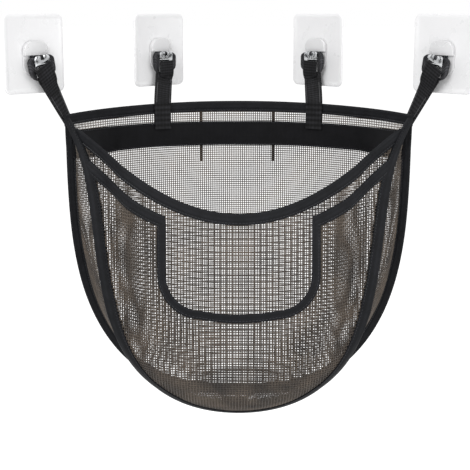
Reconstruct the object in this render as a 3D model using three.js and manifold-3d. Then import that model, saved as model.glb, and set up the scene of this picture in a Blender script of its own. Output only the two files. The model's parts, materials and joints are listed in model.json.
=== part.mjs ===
// Corner bath toy organizer: a mesh bag with a scooped front and a front pocket,
// hung by four webbing loops on hooks that swivel on clear adhesive pads.
// Millimetres, +Z up, front towards -Y, the corner of the room towards +Y.
// The origin lies midway between the bag's two upper corners.

import * as THREE from 'three';
import { mergeVertices } from 'three/addons/utils/BufferGeometryUtils.js';
import Module from 'manifold-3d';

const wasm = await Module();
wasm.setup();

// Clearance between pieces, and how far a cutter runs past what it cuts
const gap = 0.3;
const overrun = 40;
const half = 0.5;

// Bag: plan of the back, and drop of the two D-shaped outlines
const cornerHalfSpan = 193;
const backDepth = 130;
const backDrop = 340;
const backTuckShare = 0.6;
const backOutlineShares = { across: 2.6, down: 3.5, tuck: 3 };
const frontHalfSpan = 155;
const frontDrop = 318;
const frontOutlineShares = { across: 2.6, down: 3, plan: 3.5 };
const cornerFlareDrop = 35;
const bellyReach = 100;
const bellyDepth = 190;
const bellyUpperSpan = 100;
const bellyShares = { upper: 0.15, lower: 0.38, lowerPower: 2.5 };

// Top edge of the back, scooped rim of the front, rim of the pocket
const topEdgeAtCorner = 7;
const topEdgeAtMiddle = 12;
const rimDrop = 89;
const rimPowerShare = 1.35;
const pocketRimDrop = 102;
const pocketRimStep = 8;
const pocketRimPowerShare = 0.85;

// Pocket: stands off the front panel, with a window cut down from its rim
const pocketSeamGap = 2.5;
const pocketFullness = 15;
const pocketSwellShare = 1.5;
const windowHalfWidth = 76;
const windowBottom = 193;
const windowCornerRadius = 30;

// Fabric, folded tape and the wide band
const meshThickness = 0.8;
const tapeThickness = 2.8;
const rimTapeWidth = 12.5;
const seamTapeWidth = 11;
const windowTapeWidth = 10;
const grooveDepth = 2.5;
const bandTop = 12.6;
const bandHeight = 29.5;
const bandThickness = 0.6;
const dartPlace = 47;
const dartWidth = 3;
const dartLength = 62;
const dartThickness = 0.6;

// Webbing straps, each with an open loop at its upper end
const webbingWidth = 21;
const webbingThickness = 1.4;
const loopBandThickness = 1.8;
const loopInnerWidth = 26;
const loopInnerHeight = 17.5;
const loopDepth = 6.6;
const loopCornerRadius = 6;
const loopSag = 1.7;
const strapSewnLength = 31;
const cornerSewnLength = 17;
const strapPlace = 93;
const strapBendShares = { hook: 0.2, bag: 0.14 };

// Pads on the walls: film, clear plate and boss
const wallAngle = Math.PI / 4;
const cornerBehindBag = 92;
const wallCornerBehind = backDepth + cornerBehindBag;
const padTop = 117;
const padWidth = 78;
const padHeight = 86;
const padThickness = 2.2;
const padCornerRadius = 8;
const padEdgeBevel = 0.8;
const filmThickness = 0.6;
const filmInset = 0.9;
const middleHookPlace = 138;
const outerHookPlace = 319;
const bossWidth = 31;
const bossHeight = 37;
const bossTopBelowPadTop = 29;
const bossBaseThickness = 1.2;
const bossCornerRadius = 11;
const bossCapHeight = 12;
const bossWall = 1.3;

// Hook: a bent chrome strip that swivels on a rivet
const stripWidth = 18;
const stripThickness = 1.5;
const hookReach = 7.3;
const hookBendRadius = 2.8;
const hookTipHeight = 13.5;
const hookCornerRadius = 4.5;
const notchWidth = 4.2;
const notchDepth = 5;
const rivetRadius = 2.2;
const rivetBelowBossTop = 8.5;
const hookDrop = 22;
const hookHeadHeight = 4.5;
const outerHookTilt = 10 * Math.PI / 180;

// Counts of steps along edges, across panels and round curves
const seamSteps = 36;
const rimSteps = 28;
const panelRows = { back: 9, front: 16, pocket: 17 };
const panelRowShares = { back: 1.3, front: 1.4 };
const gussetRows = 3;
const gussetStartShare = 0.045;
const backGrid = { across: 9, down: 6 };
const gussetGrid = { across: 2, along: 12 };
const gridBarShare = 0.28;
const gridTopShare = 0.14;
const gridEdgeBar = 5;
const gridCutterThickness = 12;
const bandRows = 3;
const dartRows = 5;
const curveSteps = 5;
const strapSteps = 8;
const weldDistance = 0.0001;

// Finishes
const meshFinish = { color: 0x3a3734, roughness: 0.85, metalness: 0 };
const tapeFinish = { color: 0x232428, roughness: 0.7, metalness: 0 };
const bandFinish = { color: 0x17171a, roughness: 0.75, metalness: 0 };
const webbingFinish = { color: 0x28282a, roughness: 0.8, metalness: 0 };
const clearFinish = { color: 0xf0f0f0, roughness: 0.35, metalness: 0 };
const filmFinish = { color: 0xe4e6e8, roughness: 0.5, metalness: 0 };
const chromeFinish = { color: 0xd9dcdf, roughness: 0.12, metalness: 1 };

const organizer = new THREE.Group();

function addPiece(parent, name, geometry, finish) {
  const mesh = new THREE.Mesh(geometry, new THREE.MeshStandardMaterial(finish));
  mesh.name = name;
  parent.add(mesh);
  return mesh;
}

// Boolean work
function solidOf(geometry) {
  const bare = geometry.index ? geometry.toNonIndexed() : geometry.clone();
  bare.deleteAttribute('normal');
  bare.deleteAttribute('uv');
  const merged = mergeVertices(bare, weldDistance);
  return new wasm.Manifold(new wasm.Mesh({
    numProp: 3,
    vertProperties: new Float32Array(merged.attributes.position.array),
    triVerts: new Uint32Array(merged.index.array),
  }));
}

function geometryOf(solid) {
  const mesh = solid.getMesh();
  const geometry = new THREE.BufferGeometry();
  geometry.setAttribute('position', new THREE.BufferAttribute(new Float32Array(mesh.vertProperties), 3));
  geometry.setIndex(Array.from(mesh.triVerts));
  geometry.computeVertexNormals();
  return geometry;
}

// The largest body that a cut leaves
function mainBody(solid) {
  const bodies = solid.decompose();
  return bodies.reduce((best, body) => (body.volume() > best.volume() ? body : best));
}

function cutBy(solid, cutters) {
  return mainBody(cutters.reduce((rest, cutter) => rest.subtract(cutter), solid));
}

// Small vector helpers
const point = (x, y, z) => new THREE.Vector3(x, y, z);
const sideOf = (value) => (value < 0 ? -1 : 1);
const raised = (value, power) => Math.pow(Math.abs(value), power);

// The bag's surfaces, each as a depth y over width x and height z
const planRadius = (cornerHalfSpan ** 2 + backDepth ** 2) / (2 * backDepth);

function backY(x, z) {
  const arc = Math.sqrt(planRadius ** 2 - x ** 2) - (planRadius - backDepth);
  const fallen = Math.max(0, -z / backDrop);
  return arc * (1 - backTuckShare * raised(fallen, backOutlineShares.tuck));
}

function bellyAt(z) {
  const above = z + bellyDepth;
  if (above > 0) return bellyReach * (1 - bellyShares.upper * (above / bellyUpperSpan) ** 2);
  const lowerSpan = frontDrop - bellyDepth;
  return bellyReach * (1 - bellyShares.lower * raised(above / lowerSpan, bellyShares.lowerPower));
}

function frontY(x, z) {
  return -bellyAt(z) * (1 - raised(x / cornerHalfSpan, frontOutlineShares.plan));
}

function pocketY(x, z) {
  const across = raised(x / (frontHalfSpan - seamTapeWidth), frontOutlineShares.across);
  const down = raised(z / (frontDrop - seamTapeWidth), frontOutlineShares.down);
  const inside = Math.max(0, 1 - (across + down) ** 2);
  return frontY(x, z) - pocketSeamGap - pocketFullness * raised(inside, pocketSwellShare);
}

// The front seam's tape holds both the front panel and the pocket panel
const seamPairY = (x, z) => frontY(x, z) - pocketSeamGap * half;

// Outlines in x and z; the share runs from left corner to right corner, eased so that
// equal steps of the share are about equal lengths of the seam
const seamEaseShare = 1.5;

function seamAngle(share) {
  const nearer = Math.min(share, 1 - share);
  const eased = half * raised(2 * nearer, seamEaseShare);
  return Math.PI * (share < half ? eased : 1 - eased);
}

function backOutline(share) {
  const angle = seamAngle(share);
  const across = raised(Math.cos(angle), 2 / backOutlineShares.across);
  const down = raised(Math.sin(angle), 2 / backOutlineShares.down);
  return [-sideOf(Math.cos(angle)) * cornerHalfSpan * across, -backDrop * down];
}

function frontOutline(share) {
  const angle = seamAngle(share);
  const across = raised(Math.cos(angle), 2 / frontOutlineShares.across);
  const down = raised(Math.sin(angle), 2 / frontOutlineShares.down);
  const z = -frontDrop * down;
  const flare = (cornerHalfSpan - frontHalfSpan) * Math.exp(z / cornerFlareDrop);
  return [-sideOf(Math.cos(angle)) * (frontHalfSpan * across + flare), z];
}

function topEdgeZ(x) {
  const across = raised(x / cornerHalfSpan, 2);
  return topEdgeAtMiddle + (topEdgeAtCorner - topEdgeAtMiddle) * across;
}

function rimZ(x) {
  const inner = Math.max(0, 1 - raised(x / cornerHalfSpan, 2));
  return -rimDrop * raised(inner, rimPowerShare);
}

function pocketRimZ(x) {
  const inner = Math.max(0, 1 - raised(x / cornerHalfSpan, 2));
  return -pocketRimStep - (pocketRimDrop - pocketRimStep) * raised(inner, pocketRimPowerShare);
}

// A closed sheet of even thickness over a grid of points
function sheetGeometry(grid, thickness) {
  const columns = grid.length;
  const rows = grid[0].length;
  const positions = [];
  const faces = [];
  const normalAt = (i, j) => {
    const alongU = grid[Math.min(i + 1, columns - 1)][j].clone().sub(grid[Math.max(i - 1, 0)][j]);
    const alongV = grid[i][Math.min(j + 1, rows - 1)].clone().sub(grid[i][Math.max(j - 1, 0)]);
    return alongU.cross(alongV).normalize();
  };
  for (const side of [half, -half]) {
    for (let i = 0; i < columns; i += 1) {
      for (let j = 0; j < rows; j += 1) {
        const moved = grid[i][j].clone().addScaledVector(normalAt(i, j), side * thickness);
        positions.push(moved.x, moved.y, moved.z);
      }
    }
  }
  const upper = (i, j) => i * rows + j;
  const lower = (i, j) => columns * rows + i * rows + j;
  const quad = (a, b, c, d) => faces.push(a, b, c, a, c, d);
  for (let i = 0; i < columns - 1; i += 1) {
    for (let j = 0; j < rows - 1; j += 1) {
      quad(upper(i, j), upper(i + 1, j), upper(i + 1, j + 1), upper(i, j + 1));
      quad(lower(i, j), lower(i, j + 1), lower(i + 1, j + 1), lower(i + 1, j));
    }
    quad(upper(i, 0), lower(i, 0), lower(i + 1, 0), upper(i + 1, 0));
    quad(upper(i, rows - 1), upper(i + 1, rows - 1), lower(i + 1, rows - 1), lower(i, rows - 1));
  }
  for (let j = 0; j < rows - 1; j += 1) {
    quad(upper(0, j), upper(0, j + 1), lower(0, j + 1), lower(0, j));
    quad(upper(columns - 1, j), lower(columns - 1, j), lower(columns - 1, j + 1), upper(columns - 1, j + 1));
  }
  const geometry = new THREE.BufferGeometry();
  geometry.setAttribute('position', new THREE.Float32BufferAttribute(positions, 3));
  geometry.setIndex(faces);
  geometry.computeVertexNormals();
  return geometry;
}

// A closed bar through a row of sections with the same number of points
function loftGeometry(sections) {
  const positions = sections.flatMap((section) => section.flatMap((p) => [p.x, p.y, p.z]));
  const around = sections[0].length;
  const faces = [];
  for (let i = 0; i < sections.length - 1; i += 1) {
    for (let k = 0; k < around; k += 1) {
      const next = (k + 1) % around;
      const a = i * around + k;
      const b = i * around + next;
      faces.push(a, b, b + around, a, b + around, a + around);
    }
  }
  const last = (sections.length - 1) * around;
  const flatEnd = sectionPlane(sections[0]);
  for (const [a, b, c] of THREE.ShapeUtils.triangulateShape(flatEnd, [])) {
    faces.push(a, c, b, last + a, last + b, last + c);
  }
  const geometry = new THREE.BufferGeometry();
  geometry.setAttribute('position', new THREE.Float32BufferAttribute(positions, 3));
  geometry.setIndex(faces);
  geometry.computeVertexNormals();
  if (signedVolume(geometry) < 0) {
    geometry.setIndex(faces.reverse());
    geometry.computeVertexNormals();
  }
  return geometry;
}

// The section's points in its own flat coordinates, for its end caps
function sectionPlane(section) {
  const origin = section[0];
  const across = section[1].clone().sub(origin).normalize();
  const far = section[section.length - 1].clone().sub(origin);
  const up = far.addScaledVector(across, -far.dot(across)).normalize();
  return section.map((p) => {
    const offset = p.clone().sub(origin);
    return new THREE.Vector2(offset.dot(across), offset.dot(up));
  });
}

function signedVolume(geometry) {
  const place = geometry.attributes.position;
  const corner = (n) => new THREE.Vector3().fromBufferAttribute(place, geometry.index.getX(n));
  let total = 0;
  for (let n = 0; n < geometry.index.count; n += 3) {
    total += corner(n).dot(corner(n + 1).cross(corner(n + 2)));
  }
  return total;
}

// Frames along an edge that lies on one of the bag's surfaces
function surfaceNormal(surfaceY, x, z) {
  const step = meshThickness;
  const slopeX = (surfaceY(x + step * half, z) - surfaceY(x - step * half, z)) / step;
  const slopeZ = (surfaceY(x, z + step * half) - surfaceY(x, z - step * half)) / step;
  return point(-slopeX, 1, -slopeZ).normalize();
}

function onSurface(surfaceY, x, z) {
  return point(x, surfaceY(x, z), z);
}

// Folded tape over an edge: a strip with a groove along its inner side for the panel.
// The edge is a row of [x, z] points and inward says which way the panel lies.
function tapeSections({ edge, surfaceY, inward }, outlineAt) {
  return edge.map(([x, z], i) => {
    const before = edge[Math.max(i - 1, 0)];
    const after = edge[Math.min(i + 1, edge.length - 1)];
    const normal = surfaceNormal(surfaceY, x, z);
    const along = onSurface(surfaceY, after[0], after[1]).sub(onSurface(surfaceY, before[0], before[1]));
    const across = new THREE.Vector3().crossVectors(normal, along).normalize();
    if (across.dot(inward(x, z)) < 0) across.negate();
    return outlineAt((distance, height) => {
      const reach = onSurface(surfaceY, x, z).addScaledVector(across, distance);
      const there = onSurface(surfaceY, reach.x, reach.z);
      return there.addScaledVector(surfaceNormal(surfaceY, reach.x, reach.z), height);
    });
  });
}

function tapeSolid(tape) {
  const ledge = tape.width - grooveDepth;
  const top = tape.thickness * half;
  const side = tape.slot * half;
  return solidOf(loftGeometry(tapeSections(tape, (place) => [
    place(0, -top), place(tape.width, -top), place(tape.width, -side), place(ledge, -side),
    place(ledge, side), place(tape.width, side), place(tape.width, top), place(0, top),
  ])));
}

// An edge run on past both its ends
function lengthened(edge, length) {
  const beyond = ([x, z], [nextX, nextZ]) => {
    const run = length / Math.hypot(x - nextX, z - nextZ);
    return [x + (x - nextX) * run, z + (z - nextZ) * run];
  };
  return [beyond(edge[0], edge[1]), ...edge, beyond(edge[edge.length - 1], edge[edge.length - 2])];
}

// The tape grown by the clearance all round, to cut what meets it
function grownTape(tape) {
  const top = tape.thickness * half + gap;
  const far = tape.width + gap;
  const longer = { ...tape, edge: lengthened(tape.edge, 2 * gap) };
  return solidOf(loftGeometry(tapeSections(longer, (place) => [
    place(-gap, -top), place(far, -top), place(far, top), place(-gap, top),
  ])));
}

// The tape grown far outwards, to cut what would come through the back at a corner
function backOf(tape) {
  const inner = tape.thickness * half + gap;
  const far = tape.width + gap;
  const outer = seamTapeWidth;
  return solidOf(loftGeometry(tapeSections(tape, (place) => [
    place(-outer, -inner), place(far, -inner), place(far, outer), place(-outer, outer),
  ])));
}

// All that a panel may not reach: the tape's closed part and what lies beyond its outer edge
function panelTrim(tape) {
  const top = tape.thickness + gap;
  const ledge = tape.width - grooveDepth + gap;
  return solidOf(loftGeometry(tapeSections(tape, (place) => [
    place(-grooveDepth, -top), place(ledge, -top), place(ledge, top), place(-grooveDepth, top),
  ])));
}

function spread(count, from, to, make) {
  return Array.from({ length: count + 1 }, (unused, i) => make(from + (to - from) * i / count));
}

// A layer that lies off a surface by a height, over rows of widths and heights
function layerSolid({ surfaceY, widths, heights, offset = 0, thickness = meshThickness }) {
  const grid = widths.map((x) => heights.map((z) =>
    onSurface(surfaceY, x, z).addScaledVector(surfaceNormal(surfaceY, x, z), offset)));
  return solidOf(sheetGeometry(grid, thickness));
}

// Widths that step evenly along the plan of the back
const planHalfAngle = Math.asin(cornerHalfSpan / planRadius);
const acrossSpan = (share) => planRadius * Math.sin((2 * share - 1) * planHalfAngle);
const slotFor = (layers) => layers + 4 * gap;
const towardsMiddle = (height) => (x, z) => point(-x, 0, height - z);
const downwards = () => point(0, 0, -1);

// The edges that the tapes cover
const topTape = {
  edge: spread(rimSteps, 0, 1, (share) => [acrossSpan(share), topEdgeZ(acrossSpan(share))]),
  surfaceY: backY,
  inward: downwards,
  width: rimTapeWidth,
  thickness: tapeThickness,
  slot: slotFor(meshThickness),
};
const backSeamTape = {
  ...topTape,
  edge: spread(seamSteps, 0, 1, backOutline),
  inward: towardsMiddle(-backDrop * half),
  width: seamTapeWidth,
};
const frontRimTape = {
  ...topTape,
  edge: spread(rimSteps, 0, 1, (share) => [acrossSpan(share), rimZ(acrossSpan(share))]),
  surfaceY: frontY,
};
const frontSeamTape = {
  edge: spread(seamSteps, 0, 1, frontOutline),
  surfaceY: seamPairY,
  inward: towardsMiddle(-frontDrop * half),
  width: seamTapeWidth,
  thickness: tapeThickness + pocketSeamGap,
  slot: slotFor(meshThickness + pocketSeamGap),
};

// Pocket rims, one on each side of the window, and the window's own tape
const windowOuter = windowHalfWidth + windowTapeWidth;

function pocketRimTape(side, innerEnd) {
  return {
    ...topTape,
    edge: spread(rimSteps * half, cornerHalfSpan, innerEnd, (x) => [side * x, pocketRimZ(x)]),
    surfaceY: pocketY,
  };
}

function windowEdge() {
  const path = new THREE.Path();
  const top = pocketRimZ(windowHalfWidth) + tapeThickness;
  const level = windowCornerRadius - windowBottom;
  const corner = windowHalfWidth - windowCornerRadius;
  path.moveTo(-windowHalfWidth, top);
  path.lineTo(-windowHalfWidth, level);
  path.absarc(-corner, level, windowCornerRadius, Math.PI, 1.5 * Math.PI, false);
  path.lineTo(corner, -windowBottom);
  path.absarc(corner, level, windowCornerRadius, 1.5 * Math.PI, 2 * Math.PI, false);
  path.lineTo(windowHalfWidth, top);
  return path.getSpacedPoints(rimSteps).map((place) => [place.x, place.y]);
}

const windowTape = {
  ...topTape,
  edge: windowEdge(),
  surfaceY: pocketY,
  inward: (x, z) => point(x, 0, z + windowBottom - windowCornerRadius),
  width: windowTapeWidth,
};

// The window's opening as a block through the pocket panel
function windowBlock() {
  const shape = new THREE.Shape(windowTape.edge.map(([x, z]) => new THREE.Vector2(x, z)));
  shape.lineTo(windowHalfWidth, overrun);
  shape.lineTo(-windowHalfWidth, overrun);
  const geometry = new THREE.ExtrudeGeometry(shape, { depth: 2 * overrun, bevelEnabled: false });
  geometry.rotateX(Math.PI * half);
  geometry.translate(0, -bellyReach * half, 0);
  return solidOf(geometry);
}

// Tapes, each trimmed where it runs into another at the corners
function addTapes(parent) {
  const backCorner = [backOf(topTape), backOf(backSeamTape)];
  const frontRim = cutBy(tapeSolid(frontRimTape), backCorner);
  const grownRim = grownTape(frontRimTape);
  const grownSeam = grownTape(frontSeamTape);
  const rimOf = (side) => cutBy(tapeSolid(pocketRimTape(side, windowOuter + gap)), [grownSeam]);
  const pieces = {
    top_binding: tapeSolid(topTape),
    back_seam_binding: cutBy(tapeSolid(backSeamTape), [grownTape(topTape)]),
    front_rim_binding: frontRim,
    front_seam_binding: cutBy(tapeSolid(frontSeamTape), [...backCorner, grownRim]),
    pocket_rim_left: rimOf(-1),
    pocket_rim_right: rimOf(1),
    pocket_window_binding: tapeSolid(windowTape),
  };
  for (const [name, solid] of Object.entries(pieces)) {
    addPiece(parent, name, geometryOf(solid), tapeFinish);
  }
}

// Shares at which the openings of a plain grid start and end, one pair for each
const openingShares = (count, from = 0) => spread(count - 1, 0, count - 1, (place) =>
  [gridBarShare * half, 1 - gridBarShare * half].map((share) => from + (1 - from) * (place + share) / count));

// The back's net is a plain grid of openings, wherever one fits clear of the seam's tape
function backOpenings() {
  const heightAt = (share) => topEdgeAtMiddle - (topEdgeAtMiddle + backDrop) * share;
  const clear = seamTapeWidth + gridEdgeBar;
  const fits = (x, z) => raised(x / (cornerHalfSpan - clear), backOutlineShares.across)
    + raised(z / (backDrop - clear), backOutlineShares.down) < 1;
  const rows = openingShares(backGrid.down, gridTopShare).map((row) => row.map(heightAt));
  const columns = openingShares(backGrid.across).map((column) => column.map(acrossSpan));
  return columns.flatMap((widths) => rows
    .filter((heights) => widths.every((x) => heights.every((z) => fits(x, z))))
    .map((heights) => layerSolid({ surfaceY: backY, widths, heights, thickness: gridCutterThickness })));
}

// Mesh panels: a layer over the whole outline, trimmed to the tapes that hold its edges
function addPanels(parent) {
  const widths = spread(rimSteps, 0, 1, acrossSpan);
  const layer = (surfaceY, rows, top, drop, easeShare) => layerSolid({
    surfaceY, widths, heights: spread(rows, 1, 0, (share) => top - (top + drop) * (1 - share ** easeShare)),
  });
  const back = layer(backY, panelRows.back, topEdgeAtMiddle, backDrop, panelRowShares.back);
  const front = layer(frontY, panelRows.front, 0, frontDrop, panelRowShares.front);
  const pocket = layer(pocketY, panelRows.pocket, 0, frontDrop, panelRowShares.front);
  const rimTapes = [-1, 1].map((side) => pocketRimTape(side, windowHalfWidth));
  const pocketTrims = [frontSeamTape, ...rimTapes, windowTape].map(panelTrim);
  const pieces = {
    back_panel: cutBy(back, [...[topTape, backSeamTape].map(panelTrim), ...backOpenings()]),
    front_panel: cutBy(front, [frontRimTape, frontSeamTape].map(panelTrim)),
    pocket_panel: cutBy(pocket, [windowBlock(), ...pocketTrims]),
  };
  for (const [name, solid] of Object.entries(pieces)) {
    addPiece(parent, name, geometryOf(solid), meshFinish);
  }
}

// The gusset runs from the front face of the back seam's tape to the rear face of the front seam's
function addGusset(parent) {
  const seat = (tape) => (tape.thickness + meshThickness) * half + gap;
  const lineAt = (tape, side) => tapeSections(tape, (place) => place(seamTapeWidth * half, side * seat(tape)));
  const stations = (outline) => spread(seamSteps, gussetStartShare, 1 - gussetStartShare, outline);
  const backLine = lineAt({ ...backSeamTape, edge: stations(backOutline) }, -1);
  const frontLine = lineAt({ ...frontSeamTape, edge: stations(frontOutline) }, 1);
  const pointsAt = (shares) => (from, i) => shares.map((share) => from.clone().lerp(frontLine[i], share));
  const whole = spread(gussetRows, 0, 1, (share) => share);
  const sheet = solidOf(sheetGeometry(backLine.map(pointsAt(whole)), meshThickness));
  const run = seamSteps / gussetGrid.along;
  const starts = spread(gussetGrid.along - 3, 1, gussetGrid.along - 2, (place) => Math.round(place * run));
  const openings = openingShares(gussetGrid.across).flatMap((shares) => starts.map((start) =>
    solidOf(sheetGeometry(backLine.map(pointsAt(shares)).slice(start, start + run), gridCutterThickness))));
  addPiece(parent, 'gusset', geometryOf(cutBy(sheet, openings)), meshFinish);
}

// Band and dart tapes sewn on the back panel
function addBackTrims(parent) {
  const bandEnd = cornerHalfSpan - seamTapeWidth - gap;
  const inside = spread(rimSteps, 0, 1, acrossSpan).filter((x) => Math.abs(x) < bandEnd - gap);
  const band = layerSolid({
    surfaceY: backY,
    widths: [-bandEnd, ...inside, bandEnd],
    heights: spread(bandRows, -bandTop, -bandTop - bandHeight, (z) => z),
    offset: -(meshThickness + bandThickness) * half - gap,
    thickness: bandThickness,
  });
  addPiece(parent, 'back_band', geometryOf(band), bandFinish);
  const dartTop = topEdgeZ(dartPlace) - rimTapeWidth - gap;
  for (const [side, name] of [[-1, 'back_dart_left'], [1, 'back_dart_right']]) {
    const dart = layerSolid({
      surfaceY: backY,
      widths: spread(1, side * dartPlace - dartWidth * half, side * dartPlace + dartWidth * half, (x) => x),
      heights: spread(dartRows, dartTop, dartTop - dartLength, (z) => z),
      offset: (meshThickness + dartThickness) * half + gap,
      thickness: dartThickness,
    });
    addPiece(parent, name, geometryOf(dart), tapeFinish);
  }
}

// Depths off the wall, stacked outwards
const padBack = filmThickness + gap;
const padFront = padBack + padThickness;
const bossBack = padFront + gap;
const bossFront = bossBack + bossBaseThickness;
const stripBack = bossFront + gap;
const stripFront = stripBack + stripThickness;
const tipBack = stripFront + hookReach;
const capInner = stripFront + gap;
const loopMiddle = (stripFront + tipBack) * half;
const rivetBelowPadTop = bossTopBelowPadTop + rivetBelowBossTop;

// A rectangle with round corners about a middle, as a shape
function roundedRect(width, height, radius) {
  const shape = new THREE.Shape();
  const right = width * half;
  const top = height * half;
  shape.moveTo(radius - right, -top);
  shape.lineTo(right - radius, -top);
  shape.absarc(right - radius, radius - top, radius, -Math.PI * half, 0, false);
  shape.lineTo(right, top - radius);
  shape.absarc(right - radius, top - radius, radius, 0, Math.PI * half, false);
  shape.lineTo(radius - right, top);
  shape.absarc(radius - right, top - radius, radius, Math.PI * half, Math.PI, false);
  shape.lineTo(-right, radius - top);
  shape.absarc(radius - right, radius - top, radius, Math.PI, 1.5 * Math.PI, false);
  return shape;
}

// An outline seen from the room, given thickness between two depths off the wall
function slab(shape, from, to, extra = {}) {
  const settings = { depth: to - from, bevelEnabled: false, curveSegments: curveSteps, ...extra };
  const geometry = new THREE.ExtrudeGeometry(shape, settings);
  geometry.rotateX(Math.PI * half);
  geometry.translate(0, -from, 0);
  return geometry;
}

function movedUp(geometry, height) {
  return geometry.translate(0, 0, height);
}

function filmGeometry() {
  const shape = roundedRect(padWidth - 2 * filmInset, padHeight - 2 * filmInset, padCornerRadius - filmInset);
  return movedUp(slab(shape, 0, filmThickness), -padHeight * half);
}

function padGeometry() {
  const bevel = {
    depth: padThickness - padEdgeBevel, bevelEnabled: true, bevelThickness: padEdgeBevel,
    bevelSize: padEdgeBevel, bevelOffset: -padEdgeBevel, bevelSegments: 1,
  };
  const shape = roundedRect(padWidth, padHeight, padCornerRadius);
  const bevelled = solidOf(slab(shape, padBack, padFront, bevel));
  const flat = solidOf(slab(shape, padBack, padFront));
  return movedUp(geometryOf(bevelled.intersect(flat)), -padHeight * half);
}

// Boss: an arched base plate with a hollow cap over the hook's head, heights from the rivet
function bossGeometry() {
  const capTop = rivetBelowBossTop;
  const outline = (inset) => roundedRect(bossWidth - 2 * inset, bossHeight - 2 * inset, bossCornerRadius - inset);
  const middleHeight = capTop - bossHeight * half;
  const base = solidOf(movedUp(slab(outline(0), bossBack, bossFront), middleHeight));
  const capFront = capInner + bossWall;
  const cap = solidOf(movedUp(slab(outline(0), bossBack, capFront), middleHeight));
  const hollow = solidOf(movedUp(slab(outline(bossWall), bossFront, capInner), middleHeight));
  const below = roundedRect(bossWidth + overrun, bossHeight, bossWall);
  const cut = solidOf(movedUp(slab(below, bossFront, capFront + bossWall), middleHeight - bossCapHeight));
  const bore = new THREE.Shape().absarc(0, 0, rivetRadius + gap, 0, 2 * Math.PI, false);
  const drill = solidOf(slab(bore, bossBack - gap, bossFront + gap));
  return geometryOf(cap.subtract(hollow).subtract(cut).add(base).subtract(drill));
}

// Hook: the strip's side profile, extruded across, then cut to its front outline
function hookProfile() {
  const shape = new THREE.Shape();
  const outer = hookBendRadius + stripThickness;
  const bottom = -hookDrop;
  const tipTop = bottom + stripThickness + hookTipHeight;
  const tipFront = tipBack + stripThickness;
  shape.moveTo(stripBack, hookHeadHeight);
  shape.lineTo(stripBack, bottom + outer);
  shape.absarc(stripBack + outer, bottom + outer, outer, Math.PI, 1.5 * Math.PI, false);
  shape.lineTo(tipFront - outer, bottom);
  shape.absarc(tipFront - outer, bottom + outer, outer, 1.5 * Math.PI, 2 * Math.PI, false);
  shape.lineTo(tipFront, tipTop);
  shape.lineTo(tipBack, tipTop);
  shape.lineTo(tipBack, bottom + outer);
  shape.absarc(tipFront - outer, bottom + outer, hookBendRadius, 2 * Math.PI, 1.5 * Math.PI, true);
  shape.lineTo(stripBack + outer, bottom + stripThickness);
  shape.absarc(stripBack + outer, bottom + outer, hookBendRadius, 1.5 * Math.PI, Math.PI, true);
  shape.lineTo(stripFront, hookHeadHeight);
  return shape;
}

// The profile's own axes turned so that it is extruded across the hook
const acrossHook = new THREE.Matrix4().makeBasis(point(0, -1, 0), point(0, 0, 1), point(-1, 0, 0));

// What stands outside an outline between two depths is taken off
function trimmedTo(solid, outline, height, from, to) {
  const around = slab(roundedRect(2 * overrun, 2 * overrun, bossWall), from, to);
  const kept = slab(outline, from - bossWall, to + bossWall);
  const waste = solidOf(movedUp(around, height)).subtract(solidOf(movedUp(kept, height)));
  return solid.subtract(waste);
}

function hookGeometry() {
  const settings = { depth: stripWidth, bevelEnabled: false, curveSegments: curveSteps };
  const strip = new THREE.ExtrudeGeometry(hookProfile(), settings);
  strip.translate(0, 0, -stripWidth * half);
  strip.applyMatrix4(acrossHook);
  const tall = 2 * hookDrop + overrun;
  const outline = roundedRect(stripWidth, tall, hookCornerRadius);
  const tipTop = stripThickness + hookTipHeight - hookDrop;
  const tipFront = tipBack + stripThickness;
  const headed = trimmedTo(solidOf(strip), outline, hookHeadHeight - tall * half, stripBack - gap, stripFront + gap);
  const tipped = trimmedTo(headed, outline, tipTop - tall * half, tipBack - gap, tipFront + gap);
  const notch = roundedRect(notchWidth, 2 * notchDepth, notchWidth * half);
  const hole = new THREE.Shape().absarc(0, 0, rivetRadius + gap, 0, 2 * Math.PI, false);
  return geometryOf(tipped
    .subtract(solidOf(movedUp(slab(notch, tipBack - gap, tipFront + gap), tipTop)))
    .subtract(solidOf(slab(hole, stripBack - gap, stripFront + gap))));
}

function rivetGeometry() {
  const shape = new THREE.Shape().absarc(0, 0, rivetRadius, 0, 2 * Math.PI, false);
  return slab(shape, bossBack, capInner - gap);
}

// Webbing loop, heights from the rivet: it rests on the hook's bend and sags in its middle
const bendOffset = loopDepth * half - (hookReach * half - hookBendRadius);
const seatRise = hookBendRadius - Math.sqrt(hookBendRadius ** 2 - bendOffset ** 2) + gap;
const loopHoleTop = stripThickness - hookDrop + seatRise + loopSag;
const loopHoleBottom = loopHoleTop - loopInnerHeight;
const loopBottom = loopHoleBottom - loopBandThickness;

function loopOutline(Kind, wall, sag) {
  const side = loopInnerWidth * half + wall;
  const top = loopHoleTop + wall;
  const bottom = loopHoleBottom - wall;
  const neck = webbingWidth * half - loopBandThickness + wall;
  const shoulder = bottom + (top - bottom) * half;
  const radius = loopCornerRadius + wall;
  const path = new Kind();
  path.moveTo(-neck, bottom);
  path.lineTo(neck, bottom);
  path.quadraticCurveTo(side, bottom, side, shoulder);
  path.lineTo(side, top - radius);
  path.quadraticCurveTo(side, top, side - radius, top);
  path.quadraticCurveTo(0, top - 2 * sag, radius - side, top);
  path.quadraticCurveTo(-side, top, -side, top - radius);
  path.lineTo(-side, shoulder);
  path.quadraticCurveTo(-side, bottom, -neck, bottom);
  return path;
}

function loopSolid(frame) {
  const shape = loopOutline(THREE.Shape, loopBandThickness, loopSag * half);
  shape.holes.push(loopOutline(THREE.Path, 0, loopSag));
  const ring = slab(shape, loopMiddle - loopDepth * half, loopMiddle + loopDepth * half);
  return solidOf(ring.applyMatrix4(frame));
}

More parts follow.
